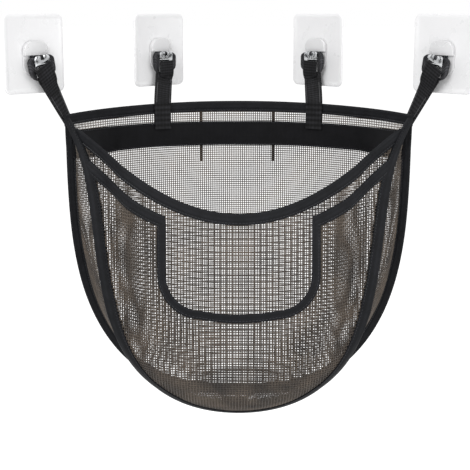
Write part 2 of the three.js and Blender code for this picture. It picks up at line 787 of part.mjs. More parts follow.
// Flat webbing of two layers through a row of stations
function webbingSolid(stations) {
  const side = webbingWidth * half;
  const face = webbingThickness;
  return solidOf(loftGeometry(stations.map(({ at, across, along }) => {
    const normal = new THREE.Vector3().crossVectors(along, across).normalize();
    const corner = (x, y) => at.clone().addScaledVector(across, x * side).addScaledVector(normal, y * face);
    return [corner(-1, -1), corner(1, -1), corner(1, 1), corner(-1, 1)];
  })));
}

// A strap: loop on the hook, free length, then the end sewn flat on the back panel's tape.
// Middle straps are sewn on the inner side, outer ones on the outer side of the corner.
function strapGeometry({ frame, place, outside, sewn }) {
  const turn = new THREE.Matrix4().extractRotation(frame);
  const topAcross = point(1, 0, 0).applyMatrix4(turn);
  const down = point(0, 0, -1).applyMatrix4(turn);
  const start = point(0, -loopMiddle, loopBottom + loopBandThickness * half).applyMatrix4(frame);
  const offset = outside * (tapeThickness * half + 2 * gap + webbingThickness);
  const normal = surfaceNormal(backY, place, 0);
  const lowAcross = point(normal.y, -normal.x, 0).normalize();
  const sewnAt = (depth) => {
    const z = topEdgeZ(place) - depth;
    return onSurface(backY, place, z).addScaledVector(surfaceNormal(backY, place, z), offset);
  };
  const edge = sewnAt(0);
  const reach = start.distanceTo(edge);
  const curve = new THREE.CubicBezierCurve3(
    start, start.clone().addScaledVector(down, reach * strapBendShares.hook),
    edge.clone().add(point(0, 0, reach * strapBendShares.bag)), edge);
  const free = spread(strapSteps, 0, 1, (share) => ({
    at: curve.getPoint(share),
    along: curve.getTangent(share),
    across: topAcross.clone().lerp(lowAcross, share * share * (3 - 2 * share)).normalize(),
  }));
  const flat = [half, 1].map((share) => ({
    at: sewnAt(sewn * share), along: point(0, 0, -1), across: lowAcross,
  }));
  for (const station of free) {
    station.across.addScaledVector(station.along, -station.across.dot(station.along)).normalize();
  }
  return geometryOf(webbingSolid([...free, ...flat]).add(loopSolid(frame)));
}

// One pad on a wall with its hook, and the strap that hangs on it
const cornerStrapPlace = planRadius * Math.sin(planHalfAngle - webbingWidth * half / planRadius);

function addHanger(side, row) {
  const outer = row === 'outer';
  const name = `${side < 0 ? 'left' : 'right'}_${row}`;
  const along = outer ? outerHookPlace : middleHookPlace;
  const wall = new THREE.Group();
  wall.position.set(side * along * Math.sin(wallAngle), wallCornerBehind - along * Math.cos(wallAngle), padTop);
  wall.rotation.z = -side * wallAngle;
  organizer.add(wall);
  addPiece(wall, `adhesive_film_${name}`, filmGeometry(), filmFinish);
  addPiece(wall, `adhesive_pad_${name}`, padGeometry(), clearFinish);
  const rivet = new THREE.Group();
  rivet.position.z = -rivetBelowPadTop;
  wall.add(rivet);
  addPiece(rivet, `hook_boss_${name}`, bossGeometry(), clearFinish);
  addPiece(rivet, `hook_rivet_${name}`, rivetGeometry(), chromeFinish);
  const swing = new THREE.Group();
  swing.rotation.y = outer ? side * outerHookTilt : 0;
  rivet.add(swing);
  addPiece(swing, `hook_${name}`, hookGeometry(), chromeFinish);
  swing.updateWorldMatrix(true, false);
  const sewing = outer
    ? { place: side * cornerStrapPlace, outside: 1, sewn: cornerSewnLength }
    : { place: side * strapPlace, outside: -1, sewn: strapSewnLength };
  const strap = strapGeometry({ frame: swing.matrixWorld, ...sewing });
  addPiece(organizer, `strap_${name}`, strap, webbingFinish);
}

addTapes(organizer);
addPanels(organizer);
addGusset(organizer);
addBackTrims(organizer);
for (const side of [-1, 1]) {
  for (const row of ['outer', 'middle']) addHanger(side, row);
}

export default organizer;
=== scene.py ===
# Corner bath toy organizer: a net bag bound in tape, hung by webbing loops on chrome hooks
import json
import math
import bpy
import bmesh
from mathutils import Matrix, Vector, noise
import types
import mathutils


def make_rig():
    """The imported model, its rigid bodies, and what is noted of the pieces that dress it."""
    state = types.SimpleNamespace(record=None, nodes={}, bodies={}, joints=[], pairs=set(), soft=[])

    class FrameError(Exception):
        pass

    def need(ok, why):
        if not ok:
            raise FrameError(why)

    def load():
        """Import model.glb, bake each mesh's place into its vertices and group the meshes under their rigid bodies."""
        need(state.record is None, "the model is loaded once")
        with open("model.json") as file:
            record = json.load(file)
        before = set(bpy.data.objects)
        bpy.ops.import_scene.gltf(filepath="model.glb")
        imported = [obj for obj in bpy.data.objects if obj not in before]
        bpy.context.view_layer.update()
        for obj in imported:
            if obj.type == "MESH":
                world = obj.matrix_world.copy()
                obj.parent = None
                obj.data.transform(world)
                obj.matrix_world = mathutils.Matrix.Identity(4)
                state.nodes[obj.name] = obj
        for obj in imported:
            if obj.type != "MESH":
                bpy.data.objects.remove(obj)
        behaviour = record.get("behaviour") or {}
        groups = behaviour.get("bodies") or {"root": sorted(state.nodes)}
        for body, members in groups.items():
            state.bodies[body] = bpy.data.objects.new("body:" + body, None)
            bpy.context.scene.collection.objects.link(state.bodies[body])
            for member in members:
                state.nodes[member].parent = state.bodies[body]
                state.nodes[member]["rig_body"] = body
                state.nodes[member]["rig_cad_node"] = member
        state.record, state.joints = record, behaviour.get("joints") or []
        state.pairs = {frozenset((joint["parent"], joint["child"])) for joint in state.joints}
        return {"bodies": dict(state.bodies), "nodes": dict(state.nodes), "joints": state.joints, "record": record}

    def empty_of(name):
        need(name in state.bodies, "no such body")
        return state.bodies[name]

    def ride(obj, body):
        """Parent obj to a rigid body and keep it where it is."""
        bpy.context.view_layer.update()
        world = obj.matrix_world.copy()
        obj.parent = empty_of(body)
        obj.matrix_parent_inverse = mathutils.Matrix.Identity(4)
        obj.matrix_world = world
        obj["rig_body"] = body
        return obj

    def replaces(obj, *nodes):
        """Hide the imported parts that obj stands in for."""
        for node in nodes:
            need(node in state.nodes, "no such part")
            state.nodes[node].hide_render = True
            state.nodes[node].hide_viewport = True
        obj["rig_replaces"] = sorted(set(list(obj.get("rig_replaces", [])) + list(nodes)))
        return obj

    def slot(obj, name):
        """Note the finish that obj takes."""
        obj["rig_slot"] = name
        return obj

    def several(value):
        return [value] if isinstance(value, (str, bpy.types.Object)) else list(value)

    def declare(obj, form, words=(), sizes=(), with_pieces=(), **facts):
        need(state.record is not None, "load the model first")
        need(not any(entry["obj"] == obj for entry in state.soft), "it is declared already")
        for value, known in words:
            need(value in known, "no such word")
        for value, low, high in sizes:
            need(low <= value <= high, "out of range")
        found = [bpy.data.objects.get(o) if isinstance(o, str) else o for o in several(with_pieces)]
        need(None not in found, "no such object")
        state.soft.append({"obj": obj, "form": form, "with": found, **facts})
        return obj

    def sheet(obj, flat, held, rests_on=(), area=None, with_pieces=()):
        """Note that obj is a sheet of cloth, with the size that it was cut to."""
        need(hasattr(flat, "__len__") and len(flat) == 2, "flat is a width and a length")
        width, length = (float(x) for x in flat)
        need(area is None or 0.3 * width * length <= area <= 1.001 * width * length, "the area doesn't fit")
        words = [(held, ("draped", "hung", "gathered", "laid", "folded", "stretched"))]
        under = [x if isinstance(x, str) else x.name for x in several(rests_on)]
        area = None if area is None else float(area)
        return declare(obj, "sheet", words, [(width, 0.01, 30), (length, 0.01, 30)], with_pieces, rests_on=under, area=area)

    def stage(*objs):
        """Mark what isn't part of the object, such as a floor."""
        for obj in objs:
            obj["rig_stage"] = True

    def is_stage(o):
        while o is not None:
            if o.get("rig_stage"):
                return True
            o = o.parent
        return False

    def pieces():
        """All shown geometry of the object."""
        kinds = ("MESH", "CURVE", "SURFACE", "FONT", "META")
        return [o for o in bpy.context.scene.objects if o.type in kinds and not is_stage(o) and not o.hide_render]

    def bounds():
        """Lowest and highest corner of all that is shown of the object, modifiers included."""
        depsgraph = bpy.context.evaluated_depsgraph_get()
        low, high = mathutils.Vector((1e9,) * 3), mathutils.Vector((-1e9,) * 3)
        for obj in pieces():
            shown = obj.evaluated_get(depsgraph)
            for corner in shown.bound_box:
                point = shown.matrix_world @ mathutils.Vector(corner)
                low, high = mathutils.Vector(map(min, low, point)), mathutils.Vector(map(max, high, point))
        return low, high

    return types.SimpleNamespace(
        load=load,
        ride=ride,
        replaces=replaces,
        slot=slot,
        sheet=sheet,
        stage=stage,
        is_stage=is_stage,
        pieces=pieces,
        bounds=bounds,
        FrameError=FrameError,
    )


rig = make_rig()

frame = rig.load()
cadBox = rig.bounds()
mm = 0.001
hangers = [("left_outer", -1), ("left_middle", -1), ("right_middle", 1), ("right_outer", 1)]


# small helpers for numbers

def unit(value):  # held between 0 and 1
    return min(1, max(0, value))


def eased(share):
    return share * share * (3 - 2 * share)


def waveAt(*place):  # gentle noise, between about -1 and 1
    return noise.noise(Vector(place))


def raised(value, power):
    return abs(value) ** power


def spaced(low, high, count):  # from low to high in equal steps
    return [low + (high - low) * i / count for i in range(count + 1)]


def quarterTurn(x, z, radius, startDeg, count):  # places on a quarter of a circle
    turns = [math.radians(startDeg + 90 * k / count) for k in range(count + 1)]
    return [(x + radius * math.cos(turn), z + radius * math.sin(turn)) for turn in turns]


# small helpers for working on a piece

def activate(piece):
    bpy.ops.object.select_all(action="DESELECT")
    piece.select_set(True)
    bpy.context.view_layer.objects.active = piece


def startPiece(name, addPrimitive, **settings):  # a primitive at its size and place
    bpy.ops.object.select_all(action="DESELECT")
    addPrimitive(**settings)
    piece = bpy.context.object
    piece.name = piece.data.name = name
    return piece


def beginEdit(piece):
    activate(piece)
    bpy.ops.object.mode_set(mode="EDIT")
    bpy.ops.mesh.select_all(action="SELECT")


def endEdit():
    bpy.ops.object.mode_set(mode="OBJECT")


def pick(piece, mode, test):  # in edit mode, edges, faces or vertices picked by their place
    bpy.ops.mesh.select_mode(type={"verts": "VERT", "edges": "EDGE", "faces": "FACE"}[mode])
    bpy.ops.mesh.select_all(action="DESELECT")
    shape = bmesh.from_edit_mesh(piece.data)
    for item in getattr(shape, mode):
        if test(item):
            item.select_set(True)
    shape.select_flush_mode()
    bmesh.update_edit_mesh(piece.data)


def editSelect(piece, mode, test):
    beginEdit(piece)
    pick(piece, mode, test)


def cutMesh(piece, place, normal, **settings):
    beginEdit(piece)
    bpy.ops.mesh.bisect(plane_co=Vector(place) * mm, plane_no=normal, **settings)
    endEdit()


def closeMesh(piece, mergeMm, fillEnds=False):  # doubles merged and faces turned outwards
    beginEdit(piece)
    bpy.ops.mesh.remove_doubles(threshold=mergeMm * mm)
    if fillEnds:
        bpy.ops.mesh.fill_holes(sides=0)
    bpy.ops.mesh.select_all(action="SELECT")
    bpy.ops.mesh.normals_make_consistent(inside=False)
    endEdit()


def applyModifier(piece, kind, **settings):
    activate(piece)
    modifier = piece.modifiers.new(kind.lower(), kind)
    for key, value in settings.items():
        setattr(modifier, key, value)
    bpy.ops.object.modifier_apply(modifier=modifier.name)


def softenEdges(piece, widthMm, segments, sharperThanDeg):
    applyModifier(piece, "BEVEL", width=widthMm * mm, segments=segments,
                  limit_method="ANGLE", angle_limit=math.radians(sharperThanDeg))


def settle(piece, matrix=None):  # the place goes into the mesh, and the object stays at the origin
    if matrix is not None:
        piece.matrix_world = matrix
    activate(piece)
    bpy.ops.object.transform_apply(location=True, rotation=True, scale=True)


def smoothBy(piece, degrees):
    activate(piece)
    bpy.ops.object.shade_smooth_by_angle(angle=math.radians(degrees))


def finishPiece(piece, material, body, replaced=(), slot=None):
    piece.data.materials.clear()
    piece.data.materials.append(material)
    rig.ride(piece, body)
    if replaced:
        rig.replaces(piece, *replaced)
    if slot:
        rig.slot(piece, slot)


# the bag's surfaces and edges, in millimetres, in the frame's own axes

bag = {
    "cornerHalfSpan": 193, "cornerFlare": 58, "topMiddle": 12, "topFall": 5,
    "backDepth": 130, "backDrop": 340, "backTuck": 0.6, "backPower": 3.5, "backSidePower": 2.6,
    "frontHalfSpan": 156, "frontDrop": 327, "frontPowers": (2, 3.8),
    "lowCurl": 26, "curlFrom": 0.66, "curlTop": 200, "curlFull": 90,
    "bellyReach": 100, "bellyDepth": 190, "bellyUpper": 100, "bellySidePower": 3.5,
    "bellyUpperLoss": 0.15, "bellyLowLoss": 0.38, "bellyLowPower": 2.5,
    "rimDrop": 89, "rimPower": 1.35, "rimEnd": 178,
    "pocketDrop": 102, "pocketStep": 8, "pocketRimPower": 0.85, "pocketRimEnd": 163,
    "pocketSeamGap": 2.5, "pocketFullness": 15, "pocketPowers": (2.6, 3), "pocketCrown": 1.5,
    "seamTape": 11, "frontSeamTape": 13, "rimTape": 12.5,
}
fin = {"flat": 7, "blend": 45, "kept": 0.12, "backStart": 34, "frontStart": 48,
       "backEnd": 900, "frontEnd": 262, "fade": 70}
planRadius = (bag["cornerHalfSpan"] ** 2 + bag["backDepth"] ** 2) / (2 * bag["backDepth"])
normalReach = 0.4  # how far either side a surface is felt for its slope


def backArc(x, z):
    arc = math.sqrt(max(planRadius ** 2 - x * x, 0)) - (planRadius - bag["backDepth"])
    return arc * (1 - bag["backTuck"] * max(0, -z / bag["backDrop"]) ** 3)


def turnedOut(surfaceY, halfWidth, x, z, start, end):
    # between start and end the bound seam stands out as a fin
    edgeY = surfaceY(halfWidth, z)
    share = eased(unit((halfWidth - abs(x) - fin["flat"]) / fin["blend"]))
    kept = 1 - (1 - fin["kept"]) * unit(-z / start) * unit((end + z) / fin["fade"])
    return edgeY + (kept + (1 - kept) * share) * (surfaceY(x, z) - edgeY)


def backY(x, z):
    return turnedOut(backArc, backHalfWidth(z), x, z, fin["backStart"], fin["backEnd"])


def bellyAt(z):
    above = z + bag["bellyDepth"]
    if above > 0:
        return bag["bellyReach"] * (1 - bag["bellyUpperLoss"] * (above / bag["bellyUpper"]) ** 2)
    below = raised(above / (bag["frontDrop"] - bag["bellyDepth"]), bag["bellyLowPower"])
    return bag["bellyReach"] * (1 - bag["bellyLowLoss"] * below)


def frontArc(x, z):  # next to its lower edge the front curls back under the belly
    across, down = bag["frontPowers"]
    level = raised(x / bag["frontHalfSpan"], across) + raised(min(z, 0) / bag["frontDrop"], down)
    low = unit((level - bag["curlFrom"]) / (1 - bag["curlFrom"]))
    curl = bag["lowCurl"] * low * low * unit((-z - bag["curlTop"]) / bag["curlFull"])
    return curl - bellyAt(z) * (1 - raised(x / bag["cornerHalfSpan"], bag["bellySidePower"]))


def frontY(x, z):
    return turnedOut(frontArc, frontHalfWidth(z), x, z, fin["frontStart"], fin["frontEnd"])


def pocketY(x, z):
    acrossPower, downPower = bag["pocketPowers"]
    across = raised(x / (bag["frontHalfSpan"] - bag["seamTape"]), acrossPower)
    down = raised(z / (bag["frontDrop"] - bag["seamTape"]), downPower)
    crown = bag["pocketFullness"] * max(0, 1 - (across + down) ** 2) ** bag["pocketCrown"]
    return frontY(x, z) - bag["pocketSeamGap"] - crown


def seamPairY(x, z):
    return frontY(x, z) - bag["pocketSeamGap"] / 2


def topEdgeZ(x):
    return bag["topMiddle"] - bag["topFall"] * (x / bag["cornerHalfSpan"]) ** 2


def scoop(x, power):
    return max(0, 1 - (x / bag["cornerHalfSpan"]) ** 2) ** power


def rimZ(x):
    return -bag["rimDrop"] * scoop(x, bag["rimPower"])


def pocketRimZ(x):
    step = bag["pocketStep"]
    return -step - (bag["pocketDrop"] - step) * scoop(x, bag["pocketRimPower"])


def cornerFlare(z):  # the front widens to the back's width at its upper corners
    return (bag["cornerHalfSpan"] - bag["frontHalfSpan"]) * math.exp(z / bag["cornerFlare"])


def frontHalfWidth(z):
    across, down = bag["frontPowers"]
    low = max(0, 1 - raised(z / bag["frontDrop"], down))
    return bag["frontHalfSpan"] * low ** (1 / across) + cornerFlare(z)


def backHalfWidth(z):
    low = max(0, 1 - raised(min(z, 0) / bag["backDrop"], bag["backPower"]))
    return bag["cornerHalfSpan"] * low ** (1 / bag["backSidePower"])


def seamAngle(share):
    nearer = min(share, 1 - share)
    half = (2 * nearer) ** 1.5 / 2
    return math.pi * (half if share < 0.5 else 1 - half)


def backOutline(share):
    angle = seamAngle(share)
    x = bag["cornerHalfSpan"] * raised(math.cos(angle), 2 / bag["backSidePower"])
    z = -bag["backDrop"] * max(0, math.sin(angle)) ** (2 / bag["backPower"])
    return math.copysign(x, -math.cos(angle)), z


def frontOutline(share):
    across, down = bag["frontPowers"]
    angle = seamAngle(share)
    z = -bag["frontDrop"] * max(0, math.sin(angle)) ** (2 / down)
    x = bag["frontHalfSpan"] * raised(math.cos(angle), 2 / across) + cornerFlare(z)
    return math.copysign(x, -math.cos(angle)), z


def onSurface(surfaceY, x, z):
    return Vector((x, surfaceY(x, z), z))


def surfaceNormal(surfaceY, x, z):
    slopeX = surfaceY(x + normalReach, z) - surfaceY(x - normalReach, z)
    slopeZ = surfaceY(x, z + normalReach) - surfaceY(x, z - normalReach)
    return Vector((-slopeX, 2 * normalReach, -slopeZ)).normalized()


def offSurface(surfaceY, x, z, height):  # the height counts toward the wall
    return onSurface(surfaceY, x, z) + surfaceNormal(surfaceY, x, z) * height


def stepsAlong(points, stepMm, fewest):
    # equal steps along a line: for each, the point before it and the share of the way to the next
    lengths = [0]
    for a, b in zip(points, points[1:]):
        lengths.append(lengths[-1] + (b - a).length)
    count = max(fewest, round(lengths[-1] / stepMm))
    steps, k = [], 0
    for wanted in spaced(0, lengths[-1], count):
        while k < len(points) - 2 and lengths[k + 1] < wanted:
            k += 1
        steps.append((k, (wanted - lengths[k]) / max(lengths[k + 1] - lengths[k], 1e-9)))
    return steps, lengths[-1]


def evenWalk(pointAt, start, end, stepMm):  # values from start to end, one step of length apart
    fine = spaced(start, end, 600)
    steps = stepsAlong([pointAt(value) for value in fine], stepMm, 2)[0]
    return [fine[k] + (fine[k + 1] - fine[k]) * unit(share) for k, share in steps]


# meshes from tables of points, from yarns and from folded tapes

def tablePiece(name, table, lengthMm, aroundMm, ring=True, loop=False):
    # a grid laid on a table of points; ring closes it around and loop joins its ends
    columns, rows = len(table) - 1, len(table[0]) - 1
    piece = startPiece(name, bpy.ops.mesh.primitive_grid_add,
                       x_subdivisions=columns, y_subdivisions=rows, size=1)
    for vertex in piece.data.vertices:
        i, j = round((vertex.co.x + 0.5) * columns), round((vertex.co.y + 0.5) * rows)
        vertex.co = table[i][j] * mm
    for corner in piece.data.uv_layers.active.data:
        corner.uv = (corner.uv[0] * lengthMm * mm, corner.uv[1] * aroundMm * mm)
    if ring:
        closeMesh(piece, 0.02, fillEnds=not loop)
    return piece


def yarnPiece(name, runs, yarnMm):  # round yarns or threads along runs of points
    curve = bpy.data.curves.new(name, "CURVE")
    curve.dimensions = "3D"
    curve.bevel_depth = yarnMm / 2 * mm
    curve.bevel_resolution = 0
    curve.use_fill_caps = True
    for run in runs:
        spline = curve.splines.new("POLY")
        spline.points.add(len(run) - 1)
        values = [value for place in run for value in (*(place * mm), 1)]
        spline.points.foreach_set("co", values)
    piece = bpy.data.objects.new(name, curve)
    bpy.context.collection.objects.link(piece)
    activate(piece)
    bpy.ops.object.convert(target="MESH")
    piece = bpy.context.object
    closeMesh(piece, 0.01)
    smoothBy(piece, 60)
    return piece


def yarnRuns(fixedValues, span, pointAt, inside, strideMm, shortest=4):
    # one yarn for each fixed value, running over the span wherever it lies inside
    runs = []
    low, high = span
    places = spaced(low, high, int(high - low))
    for fixed in fixedValues:
        first = None
        for here in [*places, None]:
            if here is not None and inside(fixed, here):
                first, last = here if first is None else first, here
            elif first is not None:
                if last - first > shortest:
                    count = max(1, math.ceil((last - first) / strideMm))
                    runs.append([pointAt(fixed, spot) for spot in spaced(first, last, count)])
                first = None
    return runs


def tapeStation(tape, before, spot, after):  # a place on the tape's edge, and the way across it
    surface = tape["surface"]
    along = onSurface(surface, *after) - onSurface(surface, *before)
    across = surfaceNormal(surface, *spot).cross(along).normalized()
    if across.dot(tape["inward"](*spot)) < 0:
        across.negate()
    return (*spot, across)


def tapeStations(tape, stepMm):
    edge = tape["edge"]
    steps, length = stepsAlong([onSurface(tape["surface"], x, z) for x, z in edge], stepMm, 4)
    spots = [[edge[k][n] + (edge[k + 1][n] - edge[k][n]) * share for n in range(2)]
             for k, share in steps]
    last = len(spots) - 1
    stations = [tapeStation(tape, spots[max(i - 2, 0)], spot, spots[min(i + 2, last)])
                for i, spot in enumerate(spots)]
    return stations, length


def tapePlace(tape, station, distance, height):
    x, z, across = station
    return offSurface(tape["surface"], x + across.x * distance, z + across.z * distance, height)


# half of a folded tape's outline, from its inner edge to the fold: share of the width,
# millimetres less, and share of the half thickness, with a groove where the stitching pulls it in
foldOutline = [(1, 0, 0.72), (1, 0.5, 0.86), (1, 1.4, 0.84), (1, 2.1, 0.66), (1, 2.8, 0.86),
               (0.5, 0, 1), (0.22, 0, 0.98), (0.09, 0, 0.86), (0.025, 0, 0.55)]
tapeWave = {"pucker": 0.16, "puckerEvery": 7.3, "uneven": 0.35, "unevenScale": 0.05,
            "sway": 0.45, "swayScale": 0.022, "swayRow": 3.1,
            "liftShare": 0.22, "lift": 0.25, "widthShare": 0.03, "shift": 0.2}
drawnInOver = 90  # the length over which a tape on edge narrows toward its ends


def tapeSection(width, thick):
    upper = [(width * share - less, thick / 2 * rise) for share, less, rise in foldOutline]
    return upper + [(0, 0)] + [(distance, -height) for distance, height in reversed(upper)]


def drawnIn(tape, along, length):  # a tape that is turned on edge looks narrower there
    return 1 - tape.get("drawnIn", 0) * max(0, 1 - min(along, length - along) / drawnInOver)


def tapePiece(name, tape, stepMm=1.7):
    stations, length = tapeStations(tape, stepMm)
    section = tapeSection(tape["width"], tape["thick"])
    section.append(section[0])
    wave, table = tapeWave, []
    for station, along in zip(stations, spaced(0, length, len(stations) - 1)):
        pucker = wave["pucker"] * math.sin(along * 2 * math.pi / wave["puckerEvery"])
        pucker += wave["uneven"] * waveAt(along * wave["unevenScale"], tape["seed"], 0)
        sway = wave["sway"] * waveAt(along * wave["swayScale"], wave["swayRow"], tape["seed"])
        narrow = drawnIn(tape, along, length)
        row = []
        for distance, height in section:
            inner = distance / tape["width"]
            lift = height * (1 + wave["liftShare"] * pucker * inner) + wave["lift"] * pucker * inner
            reach = distance * narrow * (1 + wave["widthShare"] * sway * inner)
            row.append(tapePlace(tape, station, reach + wave["shift"] * sway, lift))
        table.append(row)
    return tablePiece(name, table, length, 2 * tape["width"])


stitch = {"pitch": 3.4, "length": 2.5, "thread": 0.5, "fromEdge": 2.1, "groove": 0.66,
          "proud": 0.26, "rises": (0.75, 1, 0.75)}


def stitchRuns(tape):  # a row of straight stitches on both faces of a tape, in its groove
    stations, length = tapeStations(tape, stitch["pitch"])
    distance = tape["width"] - stitch["fromEdge"]
    height = tape["thick"] / 2 * stitch["groove"] + stitch["proud"]
    share = stitch["length"] / stitch["pitch"]
    runs = []
    for i, (a, b) in enumerate(zip(stations[1:-1], stations[2:-1])):
        narrow = drawnIn(tape, length * (i + 1) / (len(stations) - 1), length)
        spots = [(*(a[n] + (b[n] - a[n]) * share * part for n in range(2)), a[2])
                 for part in (0, 0.5, 1)]
        for side in (1, -1):
            runs.append([tapePlace(tape, spot, distance * narrow, side * height * rise)
                         for spot, rise in zip(spots, stitch["rises"])])
    return runs


# materials

def linear(hexText):  # an sRGB hex colour as linear values
    values = [int(hexText[i:i + 2], 16) / 255 for i in (1, 3, 5)]
    return tuple(v / 12.92 if v <= 0.04045 else ((v + 0.055) / 1.055) ** 2.4 for v in values) + (1,)


def addNode(tree, kind, inputs=None, colours=(), **settings):
    # one node with its settings, links and ramp colours; a node as an input is its first output
    node = tree.nodes.new("ShaderNode" + kind)
    for key, value in settings.items():
        setattr(node, key, value)
    for i, hexText in enumerate(colours):
        node.color_ramp.elements[i].color = linear(hexText)
    for key, value in (inputs or {}).items():
        if isinstance(value, bpy.types.Node):
            value = value.outputs[0]
        if isinstance(value, bpy.types.NodeSocket):
            tree.links.new(value, node.inputs[key])
        else:
            node.inputs[key].default_value = value
    return node


def newMaterial(name):
    material = bpy.data.materials.new(name)
    material.use_nodes = True
    material.node_tree.nodes.clear()
    return material, material.node_tree


def polyesterNet(name, low, high, toneMm, fibreMm):
    # knitted polyester net, heat set: matt yarn with a faint sheen and slow changes of tone;
    # its fibres are drawn as coarse as they need to be to show
    material, tree = newMaterial(name)
    place = addNode(tree, "TexCoord").outputs["Object"]
    tone = addNode(tree, "TexNoise", {"Vector": place, "Scale": 1 / (toneMm * mm), "Detail": 3})
    fibre = addNode(tree, "TexNoise", {"Vector": place, "Scale": 1 / (fibreMm * mm), "Detail": 2})
    mixed = addNode(tree, "Math", {0: tone, 1: fibre}, operation="MULTIPLY")
    bright = addNode(tree, "MapRange", {"Value": mixed, "From Min": 0.15, "From Max": 0.4})
    colour = addNode(tree, "ValToRGB", {"Fac": bright}, (low, high))
    bump = addNode(tree, "Bump", {"Height": fibre, "Strength": 0.5, "Distance": 0.2 * mm})
    shader = addNode(tree, "BsdfPrincipled", {
        "Base Color": colour, "Roughness": 0.62, "Sheen Weight": 0.1, "Sheen Roughness": 0.4,
        "Normal": bump})
    addNode(tree, "OutputMaterial", {"Surface": shader})
    return material


def ribbedTape(name, low, high, ribMm, crossMm, depthMm, roughness):
    # woven polyester tape or polypropylene webbing: close ribs across it, a finer rib along it,
    # and a soft sheen; the ribs are as coarse as they need to be to show
    material, tree = newMaterial(name)
    spot = addNode(tree, "TexCoord")
    place = addNode(tree, "SeparateXYZ", {"Vector": spot.outputs["UV"]})
    waves = []
    for socket, pitchMm in (("X", ribMm), ("Y", crossMm)):
        turned = addNode(tree, "Math", {0: place.outputs[socket], 1: 2 * math.pi / (pitchMm * mm)},
                         operation="MULTIPLY")
        waves.append(addNode(tree, "Math", {0: turned}, operation="SINE"))
    ribs = addNode(tree, "Math", {0: waves[0], 1: 0.7}, operation="MULTIPLY")
    both = addNode(tree, "Math", {0: waves[1], 1: 0.3, 2: ribs}, operation="MULTIPLY_ADD")
    height = addNode(tree, "MapRange", {"Value": both, "From Min": -1, "From Max": 1})
    wearAt = {"Vector": spot.outputs["Object"], "Scale": 1 / (12 * mm), "Detail": 4}
    wear = addNode(tree, "TexNoise", wearAt)
    # the colour follows the rib height: painted shade in the grooves between ribs and a painted highlight on their
    # crests, with the wear noise adding random tone
    tone = addNode(tree, "Math", {0: height, 1: wear}, operation="MULTIPLY")
    bright = addNode(tree, "MapRange", {"Value": tone, "From Min": 0.05, "From Max": 0.6})
    colour = addNode(tree, "ValToRGB", {"Fac": bright}, (low, high))
    bump = addNode(tree, "Bump", {"Height": height, "Strength": 0.8, "Distance": depthMm * mm})
    shader = addNode(tree, "BsdfPrincipled", {
        "Base Color": colour, "Roughness": roughness, "Sheen Weight": 0.02,
        "Sheen Roughness": 0.35, "Specular IOR Level": 0.14, "Normal": bump})
    addNode(tree, "OutputMaterial", {"Surface": shader})
    return material


def clearPlate(name, through):
    # clear PET plate, vacuum moulded, milky with its adhesive behind: soft gloss and a faint haze
    material, tree = newMaterial(name)
    place = addNode(tree, "TexCoord").outputs["Object"]
    haze = addNode(tree, "TexNoise", {"Vector": place, "Scale": 1 / (20 * mm), "Detail": 3})
    rough = addNode(tree, "MapRange", {"Value": haze, "To Min": 0.22, "To Max": 0.36})
    colour = addNode(tree, "ValToRGB", {"Fac": haze}, ("#e8e8e9", "#ececed"))
    bump = addNode(tree, "Bump", {"Height": haze, "Strength": 0.02, "Distance": 0.4 * mm})
    shader = addNode(tree, "BsdfPrincipled", {
        "Base Color": colour, "Roughness": rough, "IOR": 1.5, "Transmission Weight": through,
        "Normal": bump})
    addNode(tree, "OutputMaterial", {"Surface": shader})
    return material


def chromedSteel(name):
    # chrome plated steel strip: mirror bright, with fine rolling lines that stretch the lights
    material, tree = newMaterial(name)
    place = addNode(tree, "TexCoord").outputs["Object"]
    drawn = addNode(tree, "Mapping", {"Vector": place, "Scale": (1, 1, 14)})
    lines = addNode(tree, "TexNoise", {"Vector": drawn, "Scale": 1 / (4 * mm), "Detail": 2})
    rough = addNode(tree, "MapRange", {"Value": lines, "To Min": 0.06, "To Max": 0.16})
    bump = addNode(tree, "Bump", {"Height": lines, "Strength": 0.08, "Distance": 0.2 * mm})
    shader = addNode(tree, "BsdfPrincipled", {
        "Base Color": linear("#dadcde"), "Metallic": 1, "Roughness": rough, "Normal": bump})
    addNode(tree, "OutputMaterial", {"Surface": shader})
    return material


def sewingThread(name, low, high):
    # bonded polyester sewing thread: twisted, a little glossier than the tape it lies on
    material, tree = newMaterial(name)
    place = addNode(tree, "TexCoord").outputs["Object"]
    twist = addNode(tree, "TexNoise", {"Vector": place, "Scale": 1 / (0.6 * mm), "Detail": 1})
    colour = addNode(tree, "ValToRGB", {"Fac": twist}, (low, high))
    shader = addNode(tree, "BsdfPrincipled", {"Base Color": colour, "Roughness": 0.42})
    addNode(tree, "OutputMaterial", {"Surface": shader})
    return material


netDark = polyesterNet("polyesterNetCharcoal", "#2d2926", "#685c50", 35, 0.9)
# colours, then the pitch of the ribs, the pitch of the cross ribs and their depth, in millimetres
tapeCloth = ribbedTape("polyesterBindingTape", "#0c0d0f", "#1f2024", 1.3, 2.1, 0.12, 0.62)
bandCloth = ribbedTape("polyesterWideBand", "#08080a", "#161619", 1.6, 1.6, 0.1, 0.72)
webCloth = ribbedTape("polypropyleneWebbing", "#0a0a0b", "#29292c", 3.0, 2.6, 0.3, 0.6)
# the loops take the same webbing in a lighter grey: a painted sheen for the light band seen along their ears
webbingPaintedSheen = ribbedTape("polypropyleneWebbingFold", "#151516", "#4b4b4f", 1.1, 2.6, 0.4, 0.5)
plateClear = clearPlate("clearPetPlate", 0.04)
bossClear = clearPlate("clearMouldedBoss", 0.26)
filmClear = clearPlate("adhesiveGelFilm", 0)
chrome = chromedSteel("chromePlatedSteel")
thread = sewingThread("polyesterThread", "#1b1c1f", "#34363b")
# the strap's edge rows take a lighter grey than the webbing: a painted highlight along its raised edges
edgeThreadPaintedHighlight = sewingThread("polyesterEdgeThread", "#303032", "#4a4a4d")
print("materials made")


# camera, light and floor, in metres

